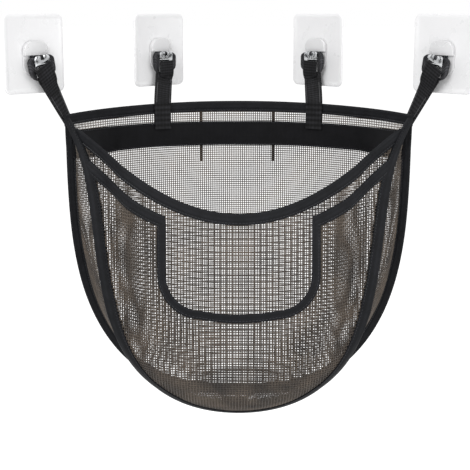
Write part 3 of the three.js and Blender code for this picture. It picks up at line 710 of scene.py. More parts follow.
photoView = {"place": (-0.004, -1.170, 0.116), "downDeg": 11.86, "focalPx": 1050, "imagePx": 470}
lights = {
    "key": {"place": (-1.3, -1.9, 1.5), "size": 1.6, "power": 40},
    "fill": {"place": (1.7, -1.5, 0.5), "size": 1.8, "power": 20},
}
flags = {
    "nearFlag": {"place": (1.0, -0.32, 0.1), "size": (0.10, 0.7)},
    "farFlag": {"place": (1.0, -0.02, 0.3), "size": (0.07, 0.9)},
}
studio = {"aim": (0, 0, -0.12), "world": 0.72,
          "floorHeight": -0.62, "floorSize": 400, "floorLift": 0.45}
white = (1, 1, 1, 1)


def addCamera(view):
    data = bpy.data.cameras.new("photoCamera")
    data.sensor_width = 36
    data.lens = view["focalPx"] / view["imagePx"] * data.sensor_width
    data.clip_start, data.clip_end = 0.01, 60
    camera = bpy.data.objects.new("photoCamera", data)
    camera.location = view["place"]
    camera.rotation_euler = (math.radians(90 - view["downDeg"]), 0, 0)
    bpy.context.collection.objects.link(camera)
    bpy.context.scene.camera = camera


def addLight(name, settings):
    data = bpy.data.lights.new(name, "AREA")
    data.shape, data.size, data.energy = "DISK", settings["size"], settings["power"]
    light = bpy.data.objects.new(name, data)
    light.location = settings["place"]
    aim = Vector(studio["aim"]) - light.location
    light.rotation_euler = aim.to_track_quat("-Z", "Y").to_euler()
    bpy.context.collection.objects.link(light)


def addFlags():  # dark cards beside the set, for the chrome to mirror
    card, tree = newMaterial("blackVelvetCard")
    shader = addNode(tree, "BsdfPrincipled", {"Base Color": linear("#0a0a0a"), "Roughness": 0.9})
    addNode(tree, "OutputMaterial", {"Surface": shader})
    for side, label in ((-1, "Left"), (1, "Right")):
        for name, settings in flags.items():
            x, y, z = settings["place"]
            flag = startPiece(name + label, bpy.ops.mesh.primitive_plane_add, size=1,
                              location=(side * x, y, z), rotation=(math.pi / 2, 0, math.pi / 2))
            flag.scale = (*settings["size"], 1)
            settle(flag)
            flag.data.materials.append(card)
            flag.visible_camera = flag.visible_shadow = flag.visible_diffuse = False
            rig.stage(flag)


def addWorld():  # seen straight on, mirrored or through the plates, the background is white
    world = bpy.data.worlds.new("studioWorld")
    bpy.context.scene.world = world
    world.use_nodes = True
    tree = world.node_tree
    tree.nodes.clear()
    soft = addNode(tree, "Background", {"Color": white, "Strength": studio["world"]})
    bright = addNode(tree, "Background", {"Color": white, "Strength": 1})
    rays = addNode(tree, "LightPath").outputs
    seen = addNode(tree, "Math", {0: rays["Is Camera Ray"], 1: rays["Is Glossy Ray"]},
                   operation="MAXIMUM")
    every = addNode(tree, "Math", {0: seen, 1: rays["Is Transmission Ray"]}, operation="MAXIMUM")
    mixed = addNode(tree, "MixShader", {0: every, 1: soft, 2: bright})
    addNode(tree, "OutputWorld", {"Surface": mixed})


def addFloor():  # lifted toward white only where the camera sees it, and it keeps its shadows
    ground = startPiece("paleFloor", bpy.ops.mesh.primitive_plane_add,
                        size=studio["floorSize"], location=(0, 0, studio["floorHeight"]))
    material, tree = newMaterial("mattPaleFloor")
    lit = addNode(tree, "BsdfDiffuse", {"Color": linear("#f2f2f2")})
    lift = addNode(tree, "Emission", {"Color": white, "Strength": studio["floorLift"]})
    both = addNode(tree, "AddShader", {0: lit, 1: lift})
    rays = addNode(tree, "LightPath").outputs
    mixed = addNode(tree, "MixShader", {0: rays["Is Camera Ray"], 1: lit, 2: both})
    addNode(tree, "OutputMaterial", {"Surface": mixed})
    ground.data.materials.append(material)
    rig.stage(ground)


bpy.context.scene.view_settings.view_transform = "Standard"
addCamera(photoView)
for lightName, settings in lights.items():
    addLight(lightName + "Light", settings)
addWorld()
addFloor()
addFlags()
print("camera, light and floor placed")


# net panels

net = {"tuck": 4.5, "ripple": 1.8, "rippleDown": 0.7, "calm": 10, "calmOver": 22,
       "across": (-193, 193), "down": (-336, 13), "stride": 2.2}
window = {"halfWidth": 76, "bottom": 186, "corner": 36, "tape": 9.2, "sag": 4, "overRim": 3,
          "besideRim": 0.3, "steps": 40, "cornerSteps": 20}
window["inner"] = window["halfWidth"] - window["corner"]
window["level"] = window["corner"] - window["bottom"]


def backMargin(x, z):  # how far inside the panel's edge a place lies
    return min(backHalfWidth(z) - abs(x), topEdgeZ(x) - z, z + bag["backDrop"])


def frontMargin(x, z):
    return min(frontHalfWidth(z) - abs(x), rimZ(x) - z, z + bag["frontDrop"])


def windowSag(x):
    return window["sag"] * max(0, 1 - (x / window["inner"]) ** 2)


def windowMargin(x, z):  # how far beyond the cut-out's edge a place lies
    if z > window["level"]:
        return abs(x) - window["halfWidth"]
    if abs(x) < window["inner"]:
        return -window["bottom"] - windowSag(x) - z
    return math.hypot(abs(x) - window["inner"], z - window["level"]) - window["corner"]


def pocketMargin(x, z):
    inPanel = min(frontHalfWidth(z) - abs(x), pocketRimZ(x) - z, z + bag["frontDrop"])
    return min(inPanel, windowMargin(x, z))


frontYarn = {"pitch": 3.25, "row": 3.45, "yarn": 1.02}
panels = {
    "backNet": {
        "node": "back_panel", "surface": backY, "margin": backMargin, "level": 0,
        "pitch": 2.65, "row": 2.65, "yarn": 1.0, "wave": 60, "seed": 1.3,
        "sheet": {"flat": (0.50, 0.38), "held": "hung", "area": 0.148,
                  "rests_on": ["top_binding"]}},
    "frontNet": {
        "node": "front_panel", "surface": frontY, "margin": frontMargin, "level": -190,
        **frontYarn, "wave": 55, "seed": 5.7,
        "sheet": {"flat": (0.40, 0.35), "held": "hung", "area": 0.083,
                  "rests_on": ["front_rim_binding"]}},
    "pocketNet": {
        "node": "pocket_panel", "surface": pocketY, "margin": pocketMargin, "level": -190,
        **frontYarn, "wave": 50, "seed": 9.2,
        "sheet": {"flat": (0.39, 0.33), "held": "hung", "area": 0.064,
                  "rests_on": ["front_seam_binding"]}},
}


def makeNet(name, runs, yarnMm, node, sheet):
    piece = yarnPiece(name, runs, yarnMm)
    finishPiece(piece, netDark, "bag", [node], "mesh")
    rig.sheet(piece, **sheet)
    print(name, len(piece.data.polygons), "faces")


def makePanel(name, panel):
    surface, margin, span = panel["surface"], panel["margin"], bag["cornerHalfSpan"]

    def inside(x, z):
        return margin(x, z) > net["tuck"]

    def place(x, z):  # the net has waves, but lies calm where the tapes hold it
        down = z / panel["wave"] * net["rippleDown"]
        ripple = net["ripple"] * waveAt(x / panel["wave"], down, panel["seed"])
        loose = unit((margin(x, z) - net["calm"]) / net["calmOver"])
        return onSurface(surface, x, z) + surfaceNormal(surface, x, z) * ripple * loose
    stride = net["stride"] * panel["pitch"]
    widths = evenWalk(lambda x: onSurface(surface, x, panel["level"]), -span, span, panel["pitch"])
    heights = evenWalk(lambda z: onSurface(surface, 0, z), bag["topMiddle"], -bag["backDrop"],
                       panel["row"])
    runs = yarnRuns(widths, net["down"], place, inside, stride)
    runs += yarnRuns(heights, net["across"], lambda z, x: place(x, z), lambda z, x: inside(x, z),
                     stride)
    makeNet(name, runs, panel["yarn"], panel["node"], panel["sheet"])


for panelName, panel in panels.items():
    makePanel(panelName, panel)

# every tape: its edge as (x, z), the surface it is folded over, and the way in from its edge
span = bag["cornerHalfSpan"]
topTape = {"edge": [(x, topEdgeZ(x)) for x in range(-span, span + 1)], "surface": backY,
           "inward": lambda x, z: Vector((0, 0, -1)), "width": bag["rimTape"],
           "thick": 2.7, "seed": 1.0}
backSeamTape = {**topTape, "edge": [backOutline(share) for share in spaced(0, 1, 300)],
                "inward": lambda x, z: Vector((-x, 0, -bag["backDrop"] / 2 - z)),
                "width": bag["seamTape"], "seed": 2.0}
frontRimTape = {**topTape, "edge": [(x, rimZ(x)) for x in range(-bag["rimEnd"], bag["rimEnd"] + 1)],
                "surface": frontY, "seed": 3.0}
frontSeamTape = {"edge": [frontOutline(share) for share in spaced(0, 1, 300)],
                 "surface": seamPairY,
                 "inward": lambda x, z: Vector((-x, 0, -bag["frontDrop"] / 2 - z)),
                 "width": bag["frontSeamTape"], "thick": 5.6, "seed": 4.0, "drawnIn": 0.5}

gusset = {"pitch": 3.6, "yarn": 0.96, "sewnIn": 10.2, "standOff": 0.9, "startShare": 0.02,
          "sag": 2.0, "wave": 1.6, "waveAlong": 0.03, "waveAcross": 0.02, "seed": 7.7,
          "stations": 400, "near": 0.004, "middleZ": -120,
          "alongStride": 2.6, "acrossStride": 6.5,
          "sheet": {"flat": (0.92, 0.12), "held": "hung", "area": 0.070,
                    "rests_on": ["back_seam_binding", "front_seam_binding"]}}


def seamLine(tape, outline, side):  # where the gusset is sewn into a seam's tape, all along it
    low, near, line = gusset["startShare"], gusset["near"], []
    for share in spaced(low, 1 - low, gusset["stations"]):
        before, after = outline(max(share - near, 0)), outline(min(share + near, 1))
        station = tapeStation(tape, before, outline(share), after)
        line.append(tapePlace(tape, station, gusset["sewnIn"], side * gusset["standOff"]))
    return line


def makeGusset():
    # a strip between the two seams; its yarns keep their pitch and end where it tapers
    rear = seamLine(backSeamTape, backOutline, -1)
    front = seamLine(frontSeamTape, frontOutline, 1)
    spans = [(b - a).length for a, b in zip(rear, front)]
    last = gusset["stations"]

    def pointAt(away, index):
        k = min(int(index), last - 1)
        a = rear[k].lerp(rear[k + 1], index - k)
        b = front[k].lerp(front[k + 1], index - k)
        share = away / max((b - a).length, 1)
        sag = gusset["sag"] * math.sin(math.pi * min(1, share))
        wave = waveAt(index * gusset["waveAlong"], away * gusset["waveAcross"], gusset["seed"])
        outward = (a - Vector((0, 0, gusset["middleZ"]))).normalized()
        return a.lerp(b, share) + outward * (sag + gusset["wave"] * wave)

    def inside(away, index):
        return away <= spans[int(round(index))]
    lines = [gusset["pitch"] * i for i in range(int(max(spans) / gusset["pitch"]) + 1)]
    runs = yarnRuns(lines, (0, last), pointAt, inside, gusset["alongStride"])
    for index in evenWalk(lambda index: pointAt(0, index), 0, last, gusset["pitch"]):
        length = spans[int(round(index))]
        count = max(2, math.ceil(length / gusset["acrossStride"]))
        runs.append([pointAt(away, index) for away in spaced(0, length, count)])
    makeNet("gussetNet", runs, gusset["yarn"], "gusset", gusset["sheet"])


makeGusset()
print("net panels made")


# folded tapes, with their stitching

def windowPath():  # down the left side of the cut-out, along its lower edge and up the right side
    half, inner, level = window["halfWidth"], window["inner"], window["level"]
    steps, bend = window["steps"], (window["corner"], window["cornerSteps"])
    top = pocketRimZ(half) - window["overRim"]
    path = [(-half, z) for z in spaced(top, level, steps)]
    path += quarterTurn(-inner, level, bend[0], 180, bend[1])[1:]
    path += [(x, -window["bottom"] - windowSag(x)) for x in spaced(-inner, inner, steps)[1:]]
    path += quarterTurn(inner, level, bend[0], 270, bend[1])[1:]
    return path + [(half, z) for z in spaced(level, top, steps)[1:]]


def pocketRimTape(side):
    xs = spaced(window["halfWidth"] + window["besideRim"], bag["pocketRimEnd"], 60)
    return {**topTape, "edge": [(side * x, pocketRimZ(x)) for x in xs], "surface": pocketY,
            "thick": 3.1, "seed": 6.0 + side}


windowTape = {**topTape, "edge": windowPath(), "surface": pocketY, "width": window["tape"],
              "inward": lambda x, z: Vector((x, 0, z - window["level"])), "seed": 5.0}
tapes = {
    "topBinding": (topTape, "top_binding"),
    "backSeamBinding": (backSeamTape, "back_seam_binding"),
    "frontRimBinding": (frontRimTape, "front_rim_binding"),
    "frontSeamBinding": (frontSeamTape, "front_seam_binding"),
    "pocketRimLeft": (pocketRimTape(-1), "pocket_rim_left"),
    "pocketRimRight": (pocketRimTape(1), "pocket_rim_right"),
    "windowBinding": (windowTape, "pocket_window_binding"),
}
for tapeName, (tape, node) in tapes.items():
    piece = tapePiece(tapeName, tape)
    smoothBy(piece, 50)
    finishPiece(piece, tapeCloth, "bag", [node], "binding_tape")
    stitches = yarnPiece(tapeName + "Stitches", stitchRuns(tape), stitch["thread"])
    finishPiece(stitches, thread, "bag", slot="binding_tape")
print("tapes and stitching made")


# wide band and the two dart tapes on the back panel

band = {"top": 12.6, "height": 29.5, "thick": 0.7, "standOff": 1.9, "end": 187, "step": 3,
        "rows": 14, "length": 450, "wave": 0.5, "edgeScale": 0.02, "faceScale": 0.03,
        "rowScale": 0.05, "edgeSeed": 4.4, "seed": 2.2,
        "stitchIn": 1.6, "stitchShare": 0.72, "stitchRises": (0.1, 0.45, 0.1)}
dart = {"places": {-1: 45.2, 1: 42.6}, "width": 3, "length": 62, "thick": 0.9, "standOff": 1.0,
        "underTape": 1, "steps": 31, "crown": (0, 0.28, 0.4, 0.2, 0.4, 0.28, 0)}


def flatTape(name, table, lengthMm, widthMm, thickMm):
    piece = tablePiece(name, table, lengthMm, widthMm, ring=False)
    applyModifier(piece, "SOLIDIFY", thickness=thickMm * mm, offset=0)
    smoothBy(piece, 40)
    return piece


def makeBand():
    wave, table = band["wave"], []
    for x in evenWalk(lambda x: onSurface(backY, x, 0), -band["end"], band["end"], band["step"]):
        row = []
        for j in range(band["rows"] + 1):
            z = -band["top"] - band["height"] * j / band["rows"]
            z += wave * waveAt(x * band["edgeScale"], band["edgeSeed"], j * band["rowScale"])
            ripple = wave * waveAt(x * band["faceScale"], z * band["rowScale"], band["seed"])
            row.append(offSurface(backY, x, z, -(band["standOff"] + ripple)))
        table.append(row)
    piece = flatTape("backBand", table, band["length"], band["height"], band["thick"])
    finishPiece(piece, bandCloth, "bag", ["back_band"], "wide_band")
    runs = []
    face = band["standOff"] + band["thick"] / 2
    for inset in (band["stitchIn"], band["height"] - band["stitchIn"]):
        z = -band["top"] - inset
        spots = evenWalk(lambda x: onSurface(backY, x, z), 1 - band["end"], band["end"] - 1,
                         stitch["pitch"])
        for a, b in zip(spots, spots[1:]):
            xs = spaced(a, a + (b - a) * band["stitchShare"], 2)
            runs.append([offSurface(backY, x, z, -(face + lift))
                         for x, lift in zip(xs, band["stitchRises"])])
    stitches = yarnPiece("backBandStitches", runs, stitch["thread"])
    finishPiece(stitches, thread, "bag", slot="wide_band")


def makeDart(name, side, node):
    middle, steps, last = side * dart["places"][side], dart["steps"], len(dart["crown"]) - 1
    top = topEdgeZ(middle) - bag["rimTape"] + dart["underTape"]
    table = []
    for z in [top - dart["length"] * i / steps for i in range(steps + 1)]:
        table.append([offSurface(backY, middle + dart["width"] * (j / last - 0.5), z,
                                 dart["standOff"] + rise) for j, rise in enumerate(dart["crown"])])
    piece = flatTape(name, table, dart["length"], dart["width"], dart["thick"])
    finishPiece(piece, tapeCloth, "bag", [node], "binding_tape")


makeBand()
makeDart("backDartLeft", -1, "back_dart_left")
makeDart("backDartRight", 1, "back_dart_right")
print("band and darts made")


# pads, bosses, rivets and hooks: each is made with its rivet at the origin, then put on the wall

wall = {"angle": math.pi / 4, "cornerBehind": 222, "rivetZ": 79.5, "tilt": math.radians(9.5),
        "outer": 319, "middle": 138}
closeBy = 0.01 * mm  # how near a vertex has to be to count as being there


def kindOf(row):
    return row.split("_")[1]


def rivetMatrix(row, side, tilted):  # from a hanger's own axes, origin at its rivet on the wall
    along = wall[kindOf(row)]
    spot = Vector((side * along * math.sin(wall["angle"]),
                   wall["cornerBehind"] - along * math.cos(wall["angle"]), wall["rivetZ"]))
    turn = Matrix.Rotation(-side * wall["angle"], 4, "Z")
    if tilted and kindOf(row) == "outer":
        turn = turn @ Matrix.Rotation(side * wall["tilt"], 4, "Y")
    return Matrix.Translation(spot * mm) @ turn


def hangPiece(piece, row, side, material, body, node, slot, tilted=False):
    settle(piece, rivetMatrix(row, side, tilted))
    smoothBy(piece, 40 if tilted else 35)
    finishPiece(piece, material, body, [node], slot)


def roundedPlate(name, width, height, middleZ, back, front, corner, edge, segments=10):
    # a plate parallel to the wall, its upright corners rounded and its front edge softened
    piece = startPiece(name, bpy.ops.mesh.primitive_cube_add, size=1,
                       location=(0, -(back + front) / 2 * mm, middleZ * mm))
    piece.scale = (width * mm, (front - back) * mm, height * mm)
    settle(piece)

    def cornerEdge(e):
        reach = e.verts[0].co - e.verts[1].co
        return abs(reach.x) < closeBy and abs(reach.z) < closeBy
    editSelect(piece, "edges", cornerEdge)
    bpy.ops.mesh.bevel(offset=corner * mm, segments=segments, affect="EDGES")
    if edge:
        pick(piece, "edges", lambda e: all(v.co.y < closeBy - front * mm for v in e.verts))
        bpy.ops.mesh.bevel(offset=edge * mm, segments=3, affect="EDGES")
    endEdit()
    return piece


plate = {"width": 78, "height": 86, "middle": -5.5, "back": 0.9, "front": 3.1, "corner": 8,
         "edge": 0.8, "stepIn": 3.2, "stepWidth": 0.9, "stepDeep": 0.35,
         "filmThick": 0.6, "filmInset": 0.9}


def makePlate(row, side):
    inset = plate["filmInset"]
    film = roundedPlate("adhesiveFilm_" + row, plate["width"] - 2 * inset,
                        plate["height"] - 2 * inset, plate["middle"], 0, plate["filmThick"],
                        plate["corner"] - inset, 0)
    hangPiece(film, row, side, filmClear, "pads", "adhesive_film_" + row, "adhesive")
    pad = roundedPlate("adhesivePad_" + row, plate["width"], plate["height"], plate["middle"],
                       plate["back"], plate["front"], plate["corner"], plate["edge"])
    # a shallow step inside the rim, as such plates are moulded with
    editSelect(pad, "faces", lambda f: f.normal.y < -0.99)
    bpy.ops.mesh.inset(thickness=plate["stepIn"] * mm, depth=0)
    bpy.ops.mesh.inset(thickness=plate["stepWidth"] * mm, depth=-plate["stepDeep"] * mm)
    endEdit()
    hangPiece(pad, row, side, plateClear, "pads", "adhesive_pad_" + row, "clear_plastic")


boss = {"width": 31, "height": 37, "middle": -10, "back": 3.15, "baseFront": 4.6, "front": 8.0,
        "corner": 11, "segments": 14, "baseEdge": 0.5, "capEdge": 1.1, "capLow": -7, "wall": 1.3,
        "wallEdge": 0.25}


def makeBoss(row, side):  # a base with a hollow cap that ends above the hook's strip
    base = roundedPlate("hookBoss_" + row, boss["width"], boss["height"], boss["middle"],
                        boss["back"], boss["baseFront"], boss["corner"], boss["baseEdge"],
                        boss["segments"])
    cap = roundedPlate("bossCap", boss["width"], boss["height"], boss["middle"],
                       boss["baseFront"], boss["front"], boss["corner"], boss["capEdge"],
                       boss["segments"])
    cutMesh(cap, (0, 0, boss["capLow"]), (0, 0, -1), clear_outer=True, clear_inner=False)
    editSelect(cap, "faces", lambda f: f.normal.y > 0.99)
    bpy.ops.mesh.delete(type="FACE")
    endEdit()
    applyModifier(cap, "SOLIDIFY", thickness=boss["wall"] * mm, offset=-1)
    softenEdges(cap, boss["wallEdge"], 2, 50)
    activate(base)
    cap.select_set(True)
    bpy.ops.object.join()
    hangPiece(base, row, side, bossClear, "pads", "hook_boss_" + row, "clear_plastic")


rivet = {"radius": 2.2, "length": 3.0, "middle": 4.9, "edge": 0.5, "sides": 32}


def makeRivet(row, side):
    piece = startPiece("hookRivet_" + row, bpy.ops.mesh.primitive_cylinder_add,
                       vertices=rivet["sides"], radius=rivet["radius"] * mm,
                       depth=rivet["length"] * mm, rotation=(math.pi / 2, 0, 0),
                       location=(0, -rivet["middle"] * mm, 0))
    settle(piece)
    softenEdges(piece, rivet["edge"], 3, 50)
    hangPiece(piece, row, side, chrome, "pads", "hook_rivet_" + row, "chrome")


hook = {"width": 20, "thick": 1.5, "back": 4.9, "reach": 7.3, "bend": 2.8, "drop": 22, "head": 4.5,
        "tip": 13.5, "notch": 4.2, "notchDeep": 5, "notchCorner": 1.5, "corner": 4.275,
        "edge": 0.35, "bendSteps": 6}


def makeHook(row, side):
    # a strip three columns wide: down from its head, round the bend, and up to a notched tip
    middle = hook["back"] + hook["thick"] / 2
    radius = hook["bend"] + hook["thick"] / 2
    straight = -hook["drop"] + hook["thick"] / 2 + radius  # where the bend starts
    piece = startPiece("hook_" + row, bpy.ops.mesh.primitive_plane_add, size=1,
                       rotation=(math.pi / 2, 0, 0),
                       location=(0, -middle * mm, (hook["head"] + straight) / 2 * mm))
    piece.scale = (hook["width"] * mm, (hook["head"] - straight) * mm, 1)
    settle(piece)
    for x in (-hook["notch"] / 2, hook["notch"] / 2):  # columns either side of the notch
        cutMesh(piece, (x, 0, 0), (1, 0, 0))
    editSelect(piece, "edges", lambda e: all(v.co.z < straight * mm + closeBy for v in e.verts))
    quarter = {"steps": hook["bendSteps"], "angle": math.pi / 2, "axis": (-1, 0, 0)}
    centreY, centreZ = -(middle + radius) * mm, straight * mm
    across = (hook["reach"] - 2 * hook["bend"]) * mm
    bpy.ops.mesh.spin(center=(0, centreY, centreZ), **quarter)
    bpy.ops.mesh.extrude_region_move(TRANSFORM_OT_translate={"value": (0, -across, 0)})
    bpy.ops.mesh.spin(center=(0, centreY - across, centreZ), **quarter)
    rise = hook["thick"] / 2 + hook["tip"] - radius - hook["notchDeep"]
    for up in (rise, hook["notchDeep"]):
        bpy.ops.mesh.extrude_region_move(TRANSFORM_OT_translate={"value": (0, 0, up * mm)})
    endEdit()
    tipTop = (hook["thick"] + hook["tip"] - hook["drop"]) * mm
    tipY = -(middle + hook["reach"] + hook["thick"]) * mm

    def onTip(place):
        return place.y < tipY + 0.5 * mm

    def inNotch(f):
        spot = f.calc_center_median()
        return abs(spot.x) < 0.5 * mm and onTip(spot) and spot.z > tipTop - hook["notchDeep"] * mm
    editSelect(piece, "faces", inNotch)
    bpy.ops.mesh.delete(type="FACE")
    endEdit()

    def outerCorner(v):
        atTop = onTip(v.co) and v.co.z > tipTop - closeBy
        atHead = v.co.z > hook["head"] * mm - closeBy
        return abs(v.co.x) > hook["width"] / 2 * mm - closeBy and (atTop or atHead)

    def notchCorner(v):
        atSide = abs(abs(v.co.x) - hook["notch"] / 2 * mm) < closeBy
        return onTip(v.co) and atSide and v.co.z > tipTop - closeBy
    for test, corner, segments in ((outerCorner, "corner", 6), (notchCorner, "notchCorner", 5)):
        editSelect(piece, "verts", test)
        bpy.ops.mesh.bevel(offset=hook[corner] * mm, segments=segments, affect="VERTICES")
        endEdit()
    applyModifier(piece, "SOLIDIFY", thickness=hook["thick"] * mm, offset=0)
    softenEdges(piece, hook["edge"], 3, 55)
    hangPiece(piece, row, side, chrome, "hook_" + row, "hook_" + row, "chrome", tilted=True)


for row, side in hangers:
    makePlate(row, side)
    makeBoss(row, side)
    makeRivet(row, side)
    makeHook(row, side)
print("pads and hooks made")


# webbing straps with their loops, in the hooks' own axes where they hang

loop = {"deep": 4.8, "middle": 10.6, "frontDeeper": 0.95, "deeperFrom": 13.6, "deeperOver": 1.8,
        "around": 16, "cornerSteps": 8, "crease": 0.86, "squareAcross": 1.2, "squareDeep": 1.25,
        "ear": {"half": 16.2, "top": -8.2, "low": -34.5, "corners": (5, 13)},
        "hole": {"half": 10.4, "top": -18.6, "low": -31, "corners": (1.6, 1.5)}}


def roundedRing(shape):  # points round an upright rounded oblong, from its lower edge
    half, top, low = shape["half"], shape["top"], shape["low"]
    high, deep = shape["corners"]
    corners = [(half - deep, low + deep, deep, -90), (half - high, top - high, high, 0),
               (high - half, top - high, high, 90), (deep - half, low + deep, deep, 180)]
    path = [Vector((x, 0, z)) for corner in corners
            for x, z in quarterTurn(*corner, loop["cornerSteps"])]
    return path + path[:1]


def squared(wave, gain):  # a wave that keeps to its ends longer
    return math.copysign(min(1, abs(wave) * gain), wave)


def makeLoop(row, side):
    # webbing that lies in the hook's bend on edge and stands up as an ear on each side of it
    outer, inner = roundedRing(loop["ear"]), roundedRing(loop["hole"])
    table, length, last = [], 0, outer[0]
    for far, near in zip(outer, inner):
        middle, reach = (far + near) / 2, (far - near) / 2
        length += (far - last).length
        last = far
        beside = unit((abs(far.x) - loop["deeperFrom"]) / loop["deeperOver"])
        around = []
        for i in range(loop["around"] + 1):  # round edges, and a crease between its two layers
            turn = 2 * math.pi * i / loop["around"]
            across = reach * squared(math.cos(turn), loop["squareAcross"])
            deep = squared(math.sin(turn), loop["squareDeep"]) * loop["deep"] / 2
            if deep > 0:  # beside the hook the ears stand out further
                deep *= 1 + loop["frontDeeper"] * beside
            crease = loop["crease"] if i % (loop["around"] // 2) == 0 else 1
            around.append(middle + across * crease + Vector((0, -loop["middle"] - deep, 0)))
        table.append(around)
    piece = tablePiece("strapLoop_" + row, table, length, 2 * loop["deep"], loop=True)
    settle(piece, rivetMatrix(row, side, True))
    smoothBy(piece, 60)
    # the loop is finished in the lightened webbing, a painted sheen along its ears
    finishPiece(piece, webbingPaintedSheen, "bag", slot="webbing")


def ribbonTable(stations, width, thick, layers, shares):
    # webbing's outline at each station: flat faces, round edges, a crease between two layers
    half, face, drop = width / 2, thick / 2, 0.3
    flat, shoulder, crease = half - 0.5, half - 0.12, half - 0.35
    outside = [(half, thick / 4), (crease, 0), (half, -thick / 4)] if layers == 2 else [(half, 0)]
    edge = [(-flat, face), (flat, face), (shoulder, face - drop), *outside, (shoulder, drop - face)]
    edge += [(-x, -y) for x, y in edge]
    section = []
    for a, b in zip(edge, edge[1:] + edge[:1]):  # the wide faces are split so that they can curve
        parts = 8 if abs(b[0] - a[0]) > 5 else 1
        section += [(a[0] + (b[0] - a[0]) * k / parts, a[1] + (b[1] - a[1]) * k / parts)
                    for k in range(parts)]
    section.append(section[0])
    return [[at + across * x * share + normal * y for x, y in section]
            for (at, across, normal), share in zip(stations, spaced(*shares, len(stations) - 1))]


strap = {"width": 21, "layer": 1.35, "top": -31.2, "leanFrom": -18.2, "bend": (0.14, 0.1),
         "faced": 0.4, "steps": 44, "sewnSteps": 12}
outerAngle = math.asin(bag["cornerHalfSpan"] / planRadius) - strap["width"] / 2 / planRadius
strapKinds = {
    "outer": {"place": planRadius * math.sin(outerAngle), "surface": backArc, "offset": 2.7,
              "sewn": (9, 14), "widths": (1.16, 0.57), "lean": 0.27,
              "frontAside": 2.9, "frontWidths": (1.17, 0.88)},
    "middle": {"place": 93, "surface": backY, "offset": -3.4,
               "sewn": (0, 31), "widths": (1.08, 1), "lean": 0,
               "frontAside": 1.5, "frontWidths": (0.97, 0.98)},
}


def leanAt(row, side, z):  # an outer strap runs aslant from its hook to the bag's corner
    return -side * strapKinds[kindOf(row)]["lean"] * (strap["leanFrom"] - z)


def fromHook(row, side, x, depth, z):  # a place given in the hook's axes, depth out from the wall
    return (rivetMatrix(row, side, True) @ (Vector((x, -depth, z)) * mm)) / mm


def turnWith(row, side):
    return rivetMatrix(row, side, True).to_3x3()


def stationOn(spot, along, across):  # the way across made square to the way along
    across = (across - along * across.dot(along)).normalized()
    return spot, across, along.cross(across).normalized()


def strapStations(row, side):  # from the loop down to the back panel, and then sewn along it
    own, turn = strapKinds[kindOf(row)], turnWith(row, side)
    topAcross = turn @ Vector((1, 0, 0))
    down = (turn @ Vector((leanAt(row, side, strap["leanFrom"] - 1), 0, -1))).normalized()
    a = fromHook(row, side, leanAt(row, side, strap["top"]), loop["middle"], strap["top"])
    place = side * own["place"]
    flatNormal = surfaceNormal(backArc, place, 0)
    lowAcross = Vector((flatNormal.y, -flatNormal.x, 0)).normalized()

    def sewnAt(depth):
        return offSurface(own["surface"], place, topEdgeZ(place) - depth, own["offset"])
    begin, end = own["sewn"]
    d = sewnAt(begin)
    reach = (a - d).length
    slant = (a - d).normalized() if own["lean"] else Vector((0, 0, 1))
    b, c = a + down * reach * strap["bend"][0], d + slant * reach * strap["bend"][1]

    def bezier(t):
        return a * (1 - t) ** 3 + b * 3 * t * (1 - t) ** 2 + c * 3 * t * t * (1 - t) + d * t ** 3
    stations = []
    for t in spaced(0, 1, strap["steps"]):
        along = (bezier(min(t + 0.01, 1)) - bezier(max(t - 0.01, 0))).normalized()
        across = topAcross.lerp(lowAcross, strap["faced"] + (1 - strap["faced"]) * eased(t))
        stations.append(stationOn(bezier(t), along, across.normalized()))
    lowNormal = Vector((0, 0, -1)).cross(lowAcross).normalized()
    for depth in spaced(begin, end, strap["sewnSteps"])[1:]:
        stations.append((sewnAt(depth), lowAcross, lowNormal))
    return stations


def makeStrap(row, side):
    own, stations = strapKinds[kindOf(row)], strapStations(row, side)
    length = sum((b[0] - a[0]).length for a, b in zip(stations, stations[1:]))
    table = ribbonTable(stations, strap["width"], 2 * strap["layer"], 2, own["widths"])
    ribbon = tablePiece("strap_" + row, table, length, 2 * strap["width"])
    smoothBy(ribbon, 45)
    finishPiece(ribbon, webCloth, "bag", ["strap_" + row], "webbing")


front = {"path": [(17.1, -18.2), (17.1, -22), (17.1, -26.5), (17, -31), (15.9, -35.5), (14.2, -40)],
         "joins": (12, 15, 18), "rises": (2.1, 1.5, 0.9), "thick": 1.3, "narrower": 0.4,
         "length": 34, "low": -40, "fadeOver": 22}


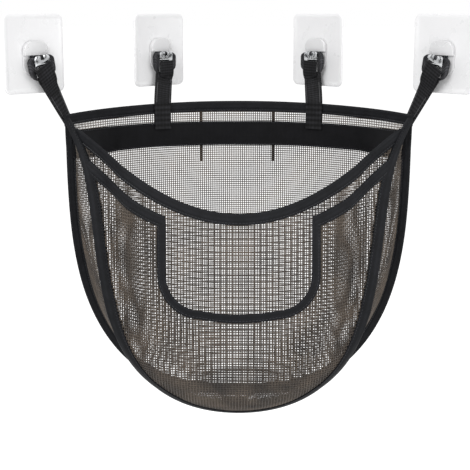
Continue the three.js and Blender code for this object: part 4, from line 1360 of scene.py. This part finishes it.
def makeStrapFront(row, side):
    # the front layer rises over the loop's lower half, up to the hook, and joins the strap below
    own, stations, turn = strapKinds[kindOf(row)], strapStations(row, side), turnWith(row, side)
    hung = (turn @ Vector((1, 0, 0))).lerp(stations[0][1], 0.5)
    spots = []
    for depth, z in front["path"]:
        aside = side * own["frontAside"] * (z - front["low"]) / front["fadeOver"]
        spots.append((fromHook(row, side, aside + leanAt(row, side, z), depth, z), hung))
    for i, rise in zip(front["joins"], front["rises"]):
        spot, across, normal = stations[i]
        outward = normal if normal.dot(turn @ Vector((0, -1, 0))) > 0 else -normal
        spots.append((spot + outward * rise, across))
    last, walk = len(spots) - 1, []
    for i, (spot, across) in enumerate(spots):
        along = (spots[min(i + 1, last)][0] - spots[max(i - 1, 0)][0]).normalized()
        walk.append(stationOn(spot, along, across))
    width = strap["width"] - front["narrower"]
    table = ribbonTable(walk, width, front["thick"], 1, own["frontWidths"])
    layer = tablePiece("strapFront_" + row, table, front["length"], 2 * strap["width"])
    smoothBy(layer, 45)
    finishPiece(layer, webCloth, "bag", slot="webbing")


edgeRow = {"first": 6, "last": 42, "inset": 2.4, "proud": 0.08, "thread": 0.7}


# the rows are raised, and their lighter grey is a painted highlight along the strap's edges
def makeEdgeRows(row, side):  # a raised row of thread along each edge of the strap's front face
    stations = strapStations(row, side)
    shares = spaced(*strapKinds[kindOf(row)]["widths"], len(stations) - 1)
    runs = []
    for sign in (-1, 1):
        run = []
        for i in range(edgeRow["first"], edgeRow["last"] + 1):
            at, across, normal = stations[i]
            outward = normal if normal.y < 0 else -normal
            aside = strap["width"] / 2 * shares[i] - edgeRow["inset"]
            run.append(at + across * sign * aside + outward * (strap["layer"] + edgeRow["proud"]))
        runs.append(run)
    piece = yarnPiece("strapEdgeRows_" + row, runs, edgeRow["thread"])
    finishPiece(piece, edgeThreadPaintedHighlight, "bag", slot="webbing")


for row, side in hangers:
    makeLoop(row, side)
    makeStrap(row, side)
    makeStrapFront(row, side)
    makeEdgeRows(row, side)
print("straps and loops made")

with open("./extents.json", "w") as sizeFile:
    json.dump({"cad": [list(corner) for corner in cadBox], "visual": [list(corner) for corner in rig.bounds()]}, sizeFile)
